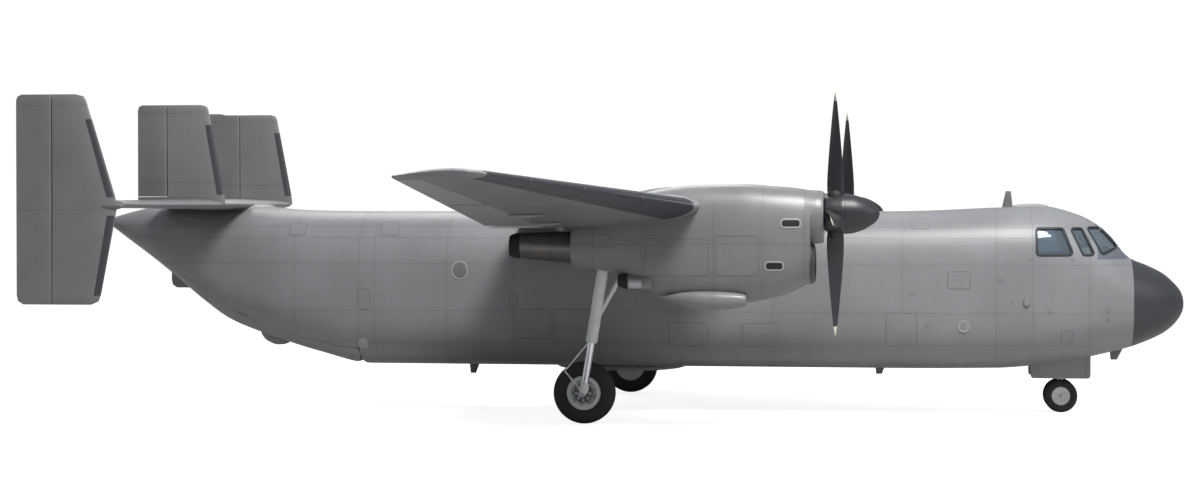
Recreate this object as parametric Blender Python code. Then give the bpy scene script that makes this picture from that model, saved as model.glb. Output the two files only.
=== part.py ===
"""Twin-engined high-wing military transport plane, parked on its gear with its wings spread.

Metres, +X to the nose, +Y to port, +Z up. The origin is on the ground, below the middle of the plane's box.
Heights named rel are taken from the eye level EYE, which is a little above the roof of the cabin.
"""

import math

import bmesh
import bpy

for old in list(bpy.data.objects):
    bpy.data.objects.remove(old, do_unlink=True)

# Driving dimensions
EYE = 3.17
SEAT_GAP = 0.0003
RUN_GAP = 0.006
WALL = 0.08
HOLD_FLOOR = 1.04
NOSE_BAY_ROOF = 1.15
HOLD_CEILING = 2.72
HOLD_HALF_WIDTH = 1.12
COCKPIT_FLOOR = 1.40
RADOME_JOINT = 7.84
COCKPIT_JOINT = 4.20
TAIL_JOINT = -4.05
TAIL_END = -8.30
NACELLE_Y = 3.70
PROP_X = 3.41
PROP_RADIUS = 1.73
PROP_Z = EYE - 0.091
FOLD_Y = 4.40
TIP_Y = 12.28
INNER_FIN_Y = 2.00
OUTER_FIN_Y = 3.72
MAIN_WHEEL = dict(x=-0.27, y=2.965, radius=0.455, half_width=0.14, rim=0.25)
NOSE_WHEEL = dict(x=6.79, y=0.17, radius=0.255, half_width=0.07, rim=0.14)

# name: red, green, blue, roughness, metallic
MATERIALS = {
    "grey_paint": (0.30, 0.31, 0.33, 0.45, 0.0),
    "nacelle_paint": (0.36, 0.36, 0.36, 0.38, 0.1),
    "dark_coating": (0.05, 0.055, 0.065, 0.55, 0.0),
    "black_rubber": (0.02, 0.02, 0.02, 0.75, 0.0),
    "hot_metal": (0.16, 0.155, 0.15, 0.35, 0.8),
    "gear_white": (0.62, 0.62, 0.60, 0.40, 0.0),
    "prop_black": (0.025, 0.026, 0.03, 0.40, 0.0),
    "cockpit_glass": (0.45, 0.52, 0.58, 0.05, 0.0),
    "cabin_fabric": (0.12, 0.15, 0.12, 0.85, 0.0),
    "panel_black": (0.03, 0.03, 0.03, 0.60, 0.0),
}


def material(name):
    """The Principled material of this name, made once."""
    if name in bpy.data.materials:
        return bpy.data.materials[name]
    red, green, blue, roughness, metallic = MATERIALS[name]
    made = bpy.data.materials.new(name)
    made.use_nodes = True
    shader = made.node_tree.nodes["Principled BSDF"]
    shader.inputs["Base Color"].default_value = (red, green, blue, 1.0)
    shader.inputs["Roughness"].default_value = roughness
    shader.inputs["Metallic"].default_value = metallic
    return made


def add(name, verts, faces, look="grey_paint"):
    """A mesh object with its faces turned outwards."""
    mesh = bpy.data.meshes.new(name)
    mesh.from_pydata([tuple(v) for v in verts], [], faces)
    shape = bmesh.new()
    shape.from_mesh(mesh)
    bmesh.ops.recalc_face_normals(shape, faces=shape.faces)
    if shape.calc_volume(signed=True) < 0:
        bmesh.ops.reverse_faces(shape, faces=shape.faces)
    shape.to_mesh(mesh)
    shape.free()
    mesh.materials.append(material(look))
    piece = bpy.data.objects.new(name, mesh)
    bpy.context.scene.collection.objects.link(piece)
    return piece


def loft(name, rings, look="grey_paint"):
    """A closed skin over rings that all have the same number of points, capped at both ends."""
    count = len(rings[0])
    verts = [point for ring in rings for point in ring]
    faces = []
    for first in range(len(rings) - 1):
        a = first * count
        b = a + count
        for k in range(count):
            n = (k + 1) % count
            faces.append((a + k, a + n, b + n))
            faces.append((a + k, b + n, b + k))
    faces.append(tuple(range(count)))
    faces.append(tuple(range(len(verts) - count, len(verts))))
    return add(name, verts, faces, look)


def box(name, low, high, look="grey_paint"):
    (x0, y0, z0), (x1, y1, z1) = low, high
    rings = [[(x, y0, z0), (x, y1, z0), (x, y1, z1), (x, y0, z1)] for x in (x0, x1)]
    return loft(name, rings, look)


def prism(name, outline, half_width, look="grey_paint"):
    """A side-view outline of (x, z) points drawn across the plane to half_width, a number or a rule of x."""
    rings = []
    for side in (-1, 1):
        ring = []
        for x, z in outline:
            reach = half_width(x) if callable(half_width) else half_width
            ring.append((x, side * reach, z))
        rings.append(ring)
    return loft(name, rings, look)


def slab(name, outline, y0, y1, look="grey_paint"):
    """A side-view outline of (x, z) points drawn out from y0 to y1."""
    return loft(name, [[(x, y, z) for x, z in outline] for y in (y0, y1)], look)


def rod(name, start, end, radius, end_radius=None, sides=12, look="gear_white"):
    """A round bar between two points."""
    end_radius = radius if end_radius is None else end_radius
    axis = [e - s for s, e in zip(start, end)]
    length = math.sqrt(sum(a * a for a in axis))
    axis = [a / length for a in axis]
    up = (0.0, 0.0, 1.0) if abs(axis[2]) < 0.9 else (1.0, 0.0, 0.0)
    side = [
        axis[1] * up[2] - axis[2] * up[1],
        axis[2] * up[0] - axis[0] * up[2],
        axis[0] * up[1] - axis[1] * up[0],
    ]
    size = math.sqrt(sum(a * a for a in side))
    side = [a / size for a in side]
    top = [
        axis[1] * side[2] - axis[2] * side[1],
        axis[2] * side[0] - axis[0] * side[2],
        axis[0] * side[1] - axis[1] * side[0],
    ]
    rings = []
    for centre, size in ((start, radius), (end, end_radius)):
        ring = []
        for k in range(sides):
            c = size * math.cos(2 * math.pi * k / sides)
            s = size * math.sin(2 * math.pi * k / sides)
            ring.append([centre[i] + c * side[i] + s * top[i] for i in range(3)])
        rings.append(ring)
    return loft(name, rings, look)


def turned(name, axis, centre, profile, sides=32, look="gear_white"):
    """A solid of revolution about a line along X or Y. profile holds (along, radius) from end to end."""
    rings = []
    for along, radius in profile:
        ring = []
        for k in range(sides):
            c = radius * math.cos(2 * math.pi * k / sides)
            s = radius * math.sin(2 * math.pi * k / sides)
            x, y, z = centre
            ring.append((x + along, y + c, z + s) if axis == "X" else (x + c, y + along, z + s))
        rings.append(ring)
    return loft(name, rings, look)


def hoop(name, centre, profile, sides=28, look="black_rubber"):
    """A ring about a line along Y: a closed profile of (along, radius) points swept round."""
    verts = []
    faces = []
    count = len(profile)
    for k in range(sides):
        c = math.cos(2 * math.pi * k / sides)
        s = math.sin(2 * math.pi * k / sides)
        verts += [(centre[0] + r * c, centre[1] + a, centre[2] + r * s) for a, r in profile]
        here = k * count
        there = (k + 1) % sides * count
        for j in range(count):
            n = (j + 1) % count
            faces.append((here + j, here + n, there + n, there + j))
    return add(name, verts, faces, look)


def combine(target, tool, operation):
    """A Boolean of target with tool, done at once. The tool is used up."""
    modifier = target.modifiers.new("Boolean", "BOOLEAN")
    modifier.operation = operation
    modifier.solver = "EXACT"
    modifier.object = tool
    bpy.context.view_layer.update()
    graph = bpy.context.evaluated_depsgraph_get()
    mesh = bpy.data.meshes.new_from_object(target.evaluated_get(graph))
    target.modifiers.clear()
    target.data = mesh
    bpy.data.objects.remove(tool, do_unlink=True)
    return target


def cut(target, *tools):
    for tool in tools:
        combine(target, tool, "DIFFERENCE")
    return target


def join(target, *tools):
    for tool in tools:
        combine(target, tool, "UNION")
    return target


def pivot(piece, point):
    """Puts a moving piece's origin on its joint's axis and leaves the piece where it is."""
    for vertex in piece.data.vertices:
        vertex.co = [vertex.co[i] - point[i] for i in range(3)]
    piece.location = point
    return piece


def blend(a, b, t):
    return a + (b - a) * t


def at(table, x):
    """The row of a station table at x, by straight lines between its stations."""
    for (x0, *low), (x1, *high) in zip(table, table[1:]):
        if min(x0, x1) - 1e-9 <= x <= max(x0, x1) + 1e-9:
            t = (x - x0) / (x1 - x0)
            return [blend(a, b, t) for a, b in zip(low, high)]
    return list(table[0][1:] if abs(x - table[0][0]) < abs(x - table[-1][0]) else table[-1][1:])


def oval(x, y, half_width, top, bottom, squareness, count=32, floor=None):
    """A rounded-square ring across the plane. Points below the floor are lifted to it."""
    middle = (top + bottom) / 2
    half = (top - bottom) / 2
    ring = []
    for k in range(count):
        c = math.cos(2 * math.pi * k / count)
        s = math.sin(2 * math.pi * k / count)
        across = half_width * math.copysign(abs(c) ** (2 / squareness), c)
        height = middle + half * math.copysign(abs(s) ** (2 / squareness), s)
        if floor is not None:
            height = max(height, floor)
        ring.append((x, y + across, height))
    return ring


def pod(name, y, rows, squareness=2.2, count=16, look="grey_paint"):
    """A rounded body along the plane. rows holds x, half width, top rel and bottom rel."""
    rings = [oval(x, y, half, EYE + top, EYE + bottom, squareness, count) for x, half, top, bottom in rows]
    return loft(name, rings, look)


def blade_antenna(foot_front, foot_rear, tip_front, tip_rear, foot_rel, tip_rel):
    """An upright blade on the middle line, thin at its front and rear edges."""
    rings = []
    for front, rear, rel in ((foot_front, foot_rear, foot_rel), (tip_front, tip_rear, tip_rel)):
        quarter = (front - rear) / 4
        outline = [(front, 0.25), (front - quarter, 1), (rear + quarter, 1), (rear, 0.25)]
        outline += [(x, -side) for x, side in reversed(outline)]
        rings.append([(x, side * ANTENNA_HALF, EYE + rel) for x, side in outline])
    return loft("antenna", rings)


# Fuselage stations from the nose back: x, half width, top rel, bottom rel, squareness
FUSELAGE = (
    (8.660, 0.02, -1.470, -1.510, 2.0),
    (8.620, 0.17, -1.300, -1.660, 2.0),
    (8.500, 0.35, -1.150, -1.820, 2.1),
    (8.360, 0.48, -1.026, -1.932, 2.2),
    (8.100, 0.66, -0.890, -2.060, 2.3),
    (7.840, 0.80, -0.783, -2.157, 2.4),
    (7.742, 0.86, -0.692, -2.185, 2.4),
    (7.540, 0.96, -0.470, -2.235, 2.5),
    (7.372, 1.04, -0.287, -2.275, 2.6),
    (7.040, 1.15, -0.105, -2.343, 2.8),
    (6.480, 1.25, 0.023, -2.430, 3.0),
    (5.800, 1.29, 0.000, -2.485, 3.2),
    (4.200, 1.30, -0.057, -2.500, 3.3),
    (-4.050, 1.30, -0.057, -2.490, 3.3),
    (-4.870, 1.27, -0.050, -2.312, 3.2),
    (-5.380, 1.22, -0.030, -2.167, 3.1),
    (-6.010, 1.12, 0.030, -1.957, 3.0),
    (-6.360, 1.05, 0.045, -1.813, 2.9),
    (-6.780, 0.96, 0.050, -1.526, 2.8),
    (-7.270, 0.84, 0.045, -1.134, 2.7),
    (-7.660, 0.73, 0.020, -0.835, 2.6),
    (-8.050, 0.60, -0.060, -0.555, 2.5),
    (-8.300, 0.48, -0.130, -0.370, 2.5),
)


def fuselage_ring(x, shrink=0.0, floor=None, count=32):
    half_width, top, bottom, squareness = at(FUSELAGE, x)
    top = EYE + top - shrink
    bottom = EYE + bottom + shrink
    return oval(x, 0.0, half_width - shrink, top, bottom, squareness, count, floor)


def fuselage_loft(name, front, rear, shrink=0.0, floor=None, look="grey_paint"):
    """The fuselage's outer skin, or one shrunk inside it, between two stations."""
    spots = [front] + [row[0] for row in FUSELAGE if rear + 1e-6 < row[0] < front - 1e-6] + [rear]
    return loft(name, [fuselage_ring(x, shrink, floor) for x in spots], look)


def belly(x):
    return EYE + at(FUSELAGE, x)[2]


# Wing sections: leading edge x and rel, trailing edge x and rel, thickness, camber, all in metres
WING_CABIN = (2.139, 0.038, -1.552, -0.317, 0.50, 0.052)
WING_FOLD = (1.479, 0.020, -1.437, -0.285, 0.40, 0.045)
WING_TIP = (-0.200, 0.380, -1.145, 0.340, 0.105, 0.015)
CHORD_SPOTS = (0.02, 0.09, 0.25, 0.50)
FLAP_HINGE = 0.76
CABIN_SPAN = 1.30


def thickness_at(u):
    """The share of the full thickness at this share of the chord."""
    return (0.2969 * math.sqrt(u) - 0.126 * u - 0.3516 * u**2 + 0.2843 * u**3 - 0.1015 * u**4) / 0.1001


def blend_section(a, b, t):
    return tuple(blend(p, q, t) for p, q in zip(a, b))


def surface_point(section, u, side, grow=0.0):
    """A point of the section's upper (side 1) or lower (-1) skin, or its mean line (0), as (x, rel)."""
    front, front_rel, rear, rear_rel, thickness, camber = section
    half = max(thickness / 2 * thickness_at(u), 0.004) + grow
    return (
        blend(front, rear, u) + grow * (1 - 2 * u),
        blend(front_rel, rear_rel, u) + camber * 4 * u * (1 - u) + side * half,
    )


def hinge_of(section, hinge):
    """The hinge line's x and rel, and the radius of the surface's round nose."""
    x, rel = surface_point(section, hinge, 0)
    return x, rel, section[4] / 2 * thickness_at(hinge)


def fixed_ring(section, hinge, gap, grow=0.0):
    """The fixed part's section. gap None is the whole chord, else it ends so far ahead of the moving nose."""
    front, _, rear, _, _, _ = section
    if gap is None:
        end = 1.0
    else:
        x, _, radius = hinge_of(section, hinge)
        end = (front - (x + radius + gap)) / (front - rear)
    last = 0.93 if gap is None else end
    spots = [min(spot, last * 0.9) for spot in CHORD_SPOTS]
    spots += [blend(spots[-1], last, 0.6), last]
    ring = [surface_point(section, u, 1, grow) for u in reversed(spots)]
    ring.append((front + grow, section[1]))
    ring += [surface_point(section, u, -1, grow) for u in spots]
    ring.append(surface_point(section, end, -1 if gap is None else 0, grow))
    ring.append(surface_point(section, end, 1 if gap is None else 0.5, grow))
    return ring


def moving_ring(section, hinge, height=1.0, turns=6):
    """A control surface's section: a nose about the hinge and a straight taper to a blunt rear edge.
    On a swept hinge a nose that is round across the hinge is less high than it is long in this section."""
    x, rel, radius = hinge_of(section, hinge)
    angles = [math.radians(90 - 180 * k / turns) for k in range(turns + 1)]
    ring = [(x + radius * math.cos(a), rel + radius * height * math.sin(a)) for a in angles]
    ring += [(section[2], section[3] - 0.004), (section[2], section[3] + 0.004)]
    return ring


def across(side):
    """Section points lie level and spans run to port (1) or starboard (-1)."""
    return lambda x, rel, span: (x, side * span, EYE + rel)


def upright(y):
    """Sections lie flat and spans run up: rel becomes the sideways offset from y."""
    return lambda x, offset, span: (x, y + offset, EYE + span)


def skin(name, stations, place, look="grey_paint"):
    """A lofted surface. stations holds (span, ring), where a ring is a list of (x, offset)."""
    return loft(name, [[place(x, off, span) for x, off in ring] for span, ring in stations], look)


def fixed_stations(section_at, hinge, spans, grow=0.0):
    """spans lists (span, gap): None for the whole chord, a number for a cut ahead of a moving surface."""
    return [(span, fixed_ring(section_at(span), hinge, gap, grow)) for span, gap in spans]


def seat_pad(span, width=0.05, slope=0.002):
    """Stations of a hinge pad, where the fixed part reaches to its seat on the moving nose."""
    end = span + width
    return [(span, RUN_GAP), (span + slope, SEAT_GAP), (end, SEAT_GAP), (end + slope, RUN_GAP)]


def hinge_point(section, hinge, place, span):
    x, offset, _ = hinge_of(section, hinge)
    return place(x, offset, span)


# Cargo doorway: the ramp hinges at its front, the door above it at its rear
RAMP = dict(front=-4.10, rear=-6.783, front_half=1.10, rear_half=0.86, depth=0.34, deck=0.14, rim=0.09)
DOOR = dict(rear=-7.95, rear_half=0.50, depth=0.22, hinge_lift=0.10, face_run=0.12, face_rise=0.10)
SPLIT_SLOPE = math.radians(35)
TRAY_SKIN = 0.05
RAMP_HINGE_X = RAMP["front"] - RAMP["depth"] / 2
RAMP_HINGE_Z = belly(RAMP_HINGE_X) + RAMP["depth"] / 2 - 0.005
DOOR_HINGE_Z = belly(DOOR["rear"]) + DOOR["hinge_lift"]
BELOW = 0.30
RAMP_ENDS = (RAMP["front"], RAMP["rear"], RAMP["front_half"], RAMP["rear_half"])
DOOR_ENDS = (RAMP["rear"], DOOR["rear"], RAMP["rear_half"], DOOR["rear_half"])
# The lower doorway is wider at its front, because the top of the ramp's round nose swings back into it
SWING_ROOM = 0.012
DOORWAY_ENDS = (RAMP["front"], RAMP["rear"], RAMP["front_half"] + SWING_ROOM, RAMP["rear_half"])


def tapered_prism(name, outline, front, rear, front_half, rear_half):
    """A side-view outline drawn out to a half width that tapers evenly from front to rear."""
    return prism(name, outline, lambda x: blend(front_half, rear_half, (x - front) / (rear - front)))


BELLY_SLOPE = (belly(RAMP["rear"]) - belly(-6.36)) / (-6.36 - RAMP["rear"])
SPLIT_RUN = RAMP["depth"] / (math.tan(SPLIT_SLOPE) + BELLY_SLOPE)
SPLIT_RISE = SPLIT_RUN * math.tan(SPLIT_SLOPE)


def ramp_outline():
    """The ramp from the side: a round nose at the hinge, the deck line above, the slanted split behind."""
    radius = RAMP["depth"] / 2
    nose = [math.radians(90 - 180 * k / 8) for k in range(9)]
    points = [(RAMP_HINGE_X + radius * math.cos(a), RAMP_HINGE_Z + radius * math.sin(a)) for a in nose]
    points += [(RAMP_HINGE_X - 0.25, BELOW), (RAMP["rear"], BELOW), (RAMP["rear"], belly(RAMP["rear"]))]
    points += [(RAMP["rear"] + SPLIT_RUN, belly(RAMP["rear"]) + SPLIT_RISE)]
    points += [(x, belly(x) + RAMP["depth"]) for x in (-6.36, -6.01, -5.38, -4.87)]
    return points


def door_outline():
    front = RAMP["rear"] - RUN_GAP * 1.4
    foot = belly(RAMP["rear"])
    return [
        (DOOR["rear"], BELOW),
        (DOOR["rear"], DOOR_HINGE_Z),
        (DOOR["rear"] + DOOR["face_run"], DOOR_HINGE_Z + DOOR["face_rise"]),
        (-7.27, belly(-7.27) + 0.30),
        (front + SPLIT_RUN, foot + SPLIT_RISE),
        (front, foot),
        (front, BELOW),
    ]


# The hole that both doors fill, with running gaps and the space that the upper door swings through
LOWER_DOORWAY = [
    (RAMP["front"] + RUN_GAP, BELOW),
    (RAMP["front"] + RUN_GAP, belly(RAMP["front"]) + RAMP["depth"] + 0.05),
    (-5.38, belly(-5.38) + RAMP["depth"] + 0.05),
    (-5.90, EYE - 0.85),
    (-6.50, EYE - 0.70),
    (RAMP["rear"], EYE - 0.63),
    (RAMP["rear"], BELOW),
]
UPPER_DOORWAY = [
    (RAMP["rear"] + 0.001, BELOW),
    (RAMP["rear"] + 0.001, EYE - 0.63),
    (DOOR["rear"] - RUN_GAP, EYE - 0.36),
    (DOOR["rear"] - RUN_GAP, BELOW),
]


# Tail bumper under the ramp: x, half width, drop below the skin
BUMPER = (
    (-5.46, 0.03, 0.00),
    (-5.58, 0.10, 0.10),
    (-5.75, 0.13, 0.17),
    (-5.90, 0.11, 0.15),
    (-5.99, 0.04, 0.04),
)


def hollow_tray(tray, name, outline, ends, rim):
    """Hollows a tray from above, leaving its rim and a skin of its own along the curved sides."""
    room = tapered_prism(name, outline, ends[0], ends[1], ends[2] - rim, ends[3] - rim)
    combine(room, fuselage_loft("skin_line", -3.9, -8.2, TRAY_SKIN), "INTERSECT")
    cut(tray, room)


def make_tail_doors():
    """The cargo ramp and the cargo door above it, each a tray whose skin is the fuselage's own."""
    ramp = fuselage_loft("cargo_ramp", -4.0, -7.2)
    ends = RAMP_ENDS
    combine(ramp, tapered_prism("ramp_side", ramp_outline(), *ends), "INTERSECT")
    rim = RAMP["rim"]
    hollow = [(RAMP_HINGE_X - 0.2, belly(RAMP_HINGE_X - 0.2) + RAMP["deck"] + 0.10)]
    hollow += [(x, belly(x) + RAMP["deck"]) for x in (-4.87, -5.38, -6.01, -6.40)]
    hollow += [(-6.32, EYE - 0.9), (RAMP_HINGE_X - 0.2, EYE - 1.5)]
    hollow_tray(ramp, "ramp_hollow", hollow, ends, rim)
    bumper = loft(
        "tail_bumper",
        [
            oval(x, 0.0, half, belly(x) + 0.04, belly(x) - drop, 2.2, 16)
            for x, half, drop in BUMPER
        ],
    )
    join(ramp, bumper)

    door = fuselage_loft("cargo_door", -6.1, -8.1)
    ends = DOOR_ENDS
    combine(door, tapered_prism("door_side", door_outline(), *ends), "INTERSECT")
    wide = [(-6.0, 0.5), (-6.0, 3.5), (-8.2, 3.5), (-8.2, 0.5)]
    combine(door, tapered_prism("door_front", wide, *RAMP_ENDS), "INTERSECT")
    hollow = [(-6.62, belly(-6.62) + 0.24), (-6.78, belly(-6.78) + 0.12), (-7.27, belly(-7.27) + 0.10)]
    hollow += [(-7.66, belly(-7.66) + 0.09), (-7.60, EYE - 0.1), (-6.45, EYE - 0.7)]
    hollow_tray(door, "door_hollow", hollow, ends, rim)
    pivot(ramp, (RAMP_HINGE_X, 0.0, RAMP_HINGE_Z))
    pivot(door, (DOOR["rear"], 0.0, DOOR_HINGE_Z))


def tail_cavity():
    """The hollow of the tail, square enough in its corners for the raised door."""
    rings = []
    for x in (-4.0, -4.87, -5.38, -6.01, -6.36, -6.78, -7.27, -7.66, -7.94):
        half_width, top, bottom, _ = at(FUSELAGE, max(x, -8.3))
        roof = EYE + min(top, 0.0) - 0.20
        rings.append(oval(x, 0.0, half_width - WALL, roof, EYE + bottom + WALL, 4.5, 32, HOLD_FLOOR))
    return loft("tail_cavity", rings)


# Fairing on the tail's roof that carries the tailplane: x, half width, top rel, bottom rel
TAILPLANE_ROOT = (
    (-5.72, 0.20, -0.030, -0.15),
    (-5.85, 0.50, 0.045, -0.15),
    (-6.10, 0.66, 0.082, -0.15),
    (-6.60, 0.66, 0.070, -0.15),
    (-7.10, 0.55, 0.035, -0.15),
    (-7.36, 0.40, 0.000, -0.12),
)


def make_tail_section():
    tail = fuselage_loft("tail_section", TAIL_JOINT - SEAT_GAP, TAIL_END)
    cut(tail, tail_cavity())
    for outline, ends in ((LOWER_DOORWAY, DOORWAY_ENDS), (UPPER_DOORWAY, DOOR_ENDS)):
        front, rear, front_half, rear_half = ends
        cut(tail, tapered_prism("doorway", outline, front, rear, front_half + RUN_GAP, rear_half + RUN_GAP))
    join(tail, pod("tailplane_root", 0.0, TAILPLANE_ROOT, 2.6, 24))
    cut(tail, make_tailplane("tailplane_seat", SEAT_GAP))
    for y in (-0.7, 0.7):
        low = (RAMP["front"] + SEAT_GAP, y - 0.05, RAMP_HINGE_Z - 0.02)
        high = (RAMP["front"] + 0.03, y + 0.05, RAMP_HINGE_Z + 0.02)
        join(tail, box("hinge_pad", low, high))
        y = y * 0.5
        low = (DOOR["rear"] - 0.03, y - 0.05, DOOR_HINGE_Z - 0.03)
        high = (DOOR["rear"] - SEAT_GAP, y + 0.05, DOOR_HINGE_Z - 0.002)
        join(tail, box("hinge_pad", low, high))
    return tail


# Crew door in the port side, hinged at its foot: front and rear x, foot and head z
CREW_DOOR = dict(front=5.45, rear=4.75, foot=1.10, head=2.60)


def side_of_fuselage(x, z):
    """How far out the skin is at this height."""
    half_width, top, bottom, squareness = at(FUSELAGE, x)
    middle = EYE + (top + bottom) / 2
    rise = min(abs(z - middle) / ((top - bottom) / 2), 1.0)
    return half_width * (1 - rise**squareness) ** (1 / squareness)


CREW_HINGE_Y = side_of_fuselage(5.1, CREW_DOOR["foot"]) + 0.002


def crew_door_block(name, grow):
    """The door's outline from the front, its head sloping so that it swings out free of the frame."""
    foot = CREW_DOOR["foot"] - (SEAT_GAP if grow else 0.0)
    head = CREW_DOOR["head"] + grow
    outline = [(0.85, foot), (1.60, foot), (1.60, head + 0.09), (1.30, head), (0.85, head - 0.135)]
    ends = (CREW_DOOR["rear"] - grow, CREW_DOOR["front"] + grow)
    return loft(name, [[(x, y, z) for y, z in outline] for x in ends])


# Cockpit glazing, port and starboard alike: outline of each pane in x and rel, and the y it starts from
PANES = (
    ("rear_pane", ((6.36, -0.313), (6.76, -0.313), (6.915, -0.721), (6.36, -0.721)), 0.0),
    ("middle_pane", ((6.87, -0.313), (7.05, -0.313), (7.24, -0.721), (7.06, -0.721)), 0.0),
    ("front_pane", ((7.13, -0.300), (7.33, -0.300), (7.62, -0.598), (7.35, -0.712)), 0.36),
)
GLASS = dict(thick=0.02, rear=6.25, front=7.4995, foot=-0.80, head=-0.27)


# Low bump on the cockpit roof: x, half width, top rel, bottom rel
ROOF_BUMP = (
    (6.70, 0.05, -0.080, -0.12),
    (6.58, 0.16, 0.038, -0.12),
    (6.42, 0.20, 0.060, -0.12),
    (6.20, 0.20, 0.052, -0.12),
    (6.08, 0.15, 0.040, -0.12),
    (6.00, 0.05, -0.020, -0.12),
)
# Blade antennas: front and rear x at the foot, front and rear x at the tip, foot rel, tip rel
ANTENNA_HALF = 0.012
COCKPIT_ANTENNAS = ((6.064, 5.885, 6.030, 5.950, -0.03, 0.257), (7.76, 7.54, 7.66, 7.56, -2.16, -2.36))
BELLY_ANTENNAS = ((4.10, 3.93, 4.04, 3.95, -2.46, -2.613), (-2.36, -2.54, -2.43, -2.52, -2.46, -2.656))


def make_cockpit():
    section = fuselage_loft("cockpit_section", RADOME_JOINT, COCKPIT_JOINT)
    spots = [(x, COCKPIT_FLOOR) for x in (7.5, 7.372, 7.04, 6.48, GLASS["rear"], 5.8, 5.602)]
    spots += [(5.6, HOLD_FLOOR), (4.2, HOLD_FLOOR), (4.1, HOLD_FLOOR)]
    cut(section, loft("cockpit_cavity", [fuselage_ring(x, WALL, floor) for x, floor in spots]))
    for name, outline, start in PANES:
        shape = [(x, EYE + rel) for x, rel in outline]
        if start:
            cut(section, slab(name, shape, start, 1.6), slab(name, shape, -1.6, -start))
        else:
            cut(section, prism(name, shape, 1.6))
    cut(section, box("middle_windshield", (7.25, -0.30, EYE - 0.64), (7.95, 0.30, EYE - 0.36)))
    cut(section, box("nose_bay", (6.30, -0.30, 0.40), (7.25, 0.30, NOSE_BAY_ROOF)))
    cut(section, crew_door_block("crew_doorway", RUN_GAP))
    join(section, pod("roof_bump", 0.0, ROOF_BUMP))
    for row in COCKPIT_ANTENNAS:
        join(section, blade_antenna(*row))

    door = fuselage_loft("crew_door", 5.6, 4.6)
    cut(door, fuselage_loft("door_inside", 5.7, 4.5, WALL))
    combine(door, crew_door_block("door_block", 0.0), "INTERSECT")
    pivot(door, (5.1, CREW_HINGE_Y, CREW_DOOR["foot"]))

    glass = fuselage_loft("windshield", GLASS["front"], GLASS["rear"], WALL + 0.0005, None, "cockpit_glass")
    ends = (GLASS["front"] - GLASS["thick"], GLASS["rear"] - 0.1)
    inside = fuselage_loft("glass_inside", *ends, WALL + GLASS["thick"])
    cut(glass, inside)
    low = (GLASS["rear"] - 0.1, -1.5, EYE + GLASS["foot"])
    combine(glass, box("glass_band", low, (7.6, 1.5, EYE + GLASS["head"])), "INTERSECT")

    radome = fuselage_loft("radome", FUSELAGE[0][0], RADOME_JOINT + SEAT_GAP, look="dark_coating")
    radome.data.shade_smooth()
    panel_top = EYE - 0.92
    box("instrument_panel", (7.00, -0.66, COCKPIT_FLOOR + SEAT_GAP), (7.36, 0.66, panel_top), "panel_black")
    seat = ((6.28, 0.0), (6.85, 0.0), (6.85, 0.44), (6.50, 0.44), (6.42, 1.18), (6.30, 1.18))
    outline = [(x, COCKPIT_FLOOR + SEAT_GAP + z) for x, z in seat]
    slab("seat_left", outline, 0.26, 0.74, "cabin_fabric")
    slab("seat_right", outline, -0.74, -0.26, "cabin_fabric")


# Belly fairing: x, half width, drop below the skin
BELLY_FAIRING = (
    (1.01, 0.10, 0.000),
    (0.80, 0.34, 0.055),
    (0.30, 0.46, 0.090),
    (-0.60, 0.46, 0.090),
    (-1.00, 0.32, 0.050),
    (-1.13, 0.10, 0.000),
)


def make_cabin():
    section = fuselage_loft("cabin_section", COCKPIT_JOINT - SEAT_GAP, TAIL_JOINT)
    rings = []
    for x in (COCKPIT_JOINT + 0.1, TAIL_JOINT - 0.1):
        rings.append(oval(x, 0.0, HOLD_HALF_WIDTH, HOLD_CEILING, HOLD_FLOOR - 0.02, 7.0, 32, HOLD_FLOOR))
    cut(section, loft("hold", rings), make_wing_centre("wing_seat", SEAT_GAP))
    for row in BELLY_ANTENNAS:
        join(section, blade_antenna(*row))
    rings = [oval(x, 0.0, half, belly(x) + 0.05, belly(x) - drop, 2.6, 20) for x, half, drop in BELLY_FAIRING]
    fairing = loft("belly_fairing", rings)
    cut(fairing, fuselage_loft("belly_seat", 2.0, -2.0, -SEAT_GAP))


def wing_section(span):
    if span <= FOLD_Y:
        return blend_section(WING_CABIN, WING_FOLD, max(span - CABIN_SPAN, 0.0) / (FOLD_Y - CABIN_SPAN))
    return blend_section(WING_FOLD, WING_TIP, (span - FOLD_Y) / (TIP_Y - FOLD_Y))


# Moving surfaces of the wing, by span: inner flap on the centre wing, the others on the outer panel
INNER_FLAP = (1.41, 3.08)
OUTER_FLAP_END = 8.30
AILERON = (8.43, 11.85)
FOLD_GAP = 0.006
FOLD_PIVOT_SHARE = 0.65
FOLD_BALL = 0.05
FOLD_SLANT = 0.40
PIVOT_X, PIVOT_REL = surface_point(WING_FOLD, FOLD_PIVOT_SHARE, -1)
FOLD_PIVOT = (PIVOT_X, FOLD_Y + FOLD_BALL + SEAT_GAP, EYE + PIVOT_REL)


def make_wing_centre(name, grow=0.0):
    """The fixed wing between the fold joints, through the cabin roof and both nacelles."""
    half = [(0.0, None), (CABIN_SPAN, None), (INNER_FLAP[0] - 0.02, None), (INNER_FLAP[0] - 0.015, RUN_GAP)]
    half += seat_pad(2.20) + [(3.088, RUN_GAP), (3.093, None), (FOLD_Y, None)]
    spans = [(-span, gap) for span, gap in reversed(half[1:])] + half
    wing = skin(name, fixed_stations(lambda s: wing_section(abs(s)), FLAP_HINGE, spans, grow), across(1))
    if not grow:
        x, _, z = FOLD_PIVOT
        for side in (-1, 1):
            ends = sorted((side * (FOLD_Y - 0.08), side * FOLD_Y))
            join(wing, box("fold_lug", (x - 0.06, ends[0], z - 0.06), (x + 0.06, ends[1], z + 0.06)))
    return wing


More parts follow.
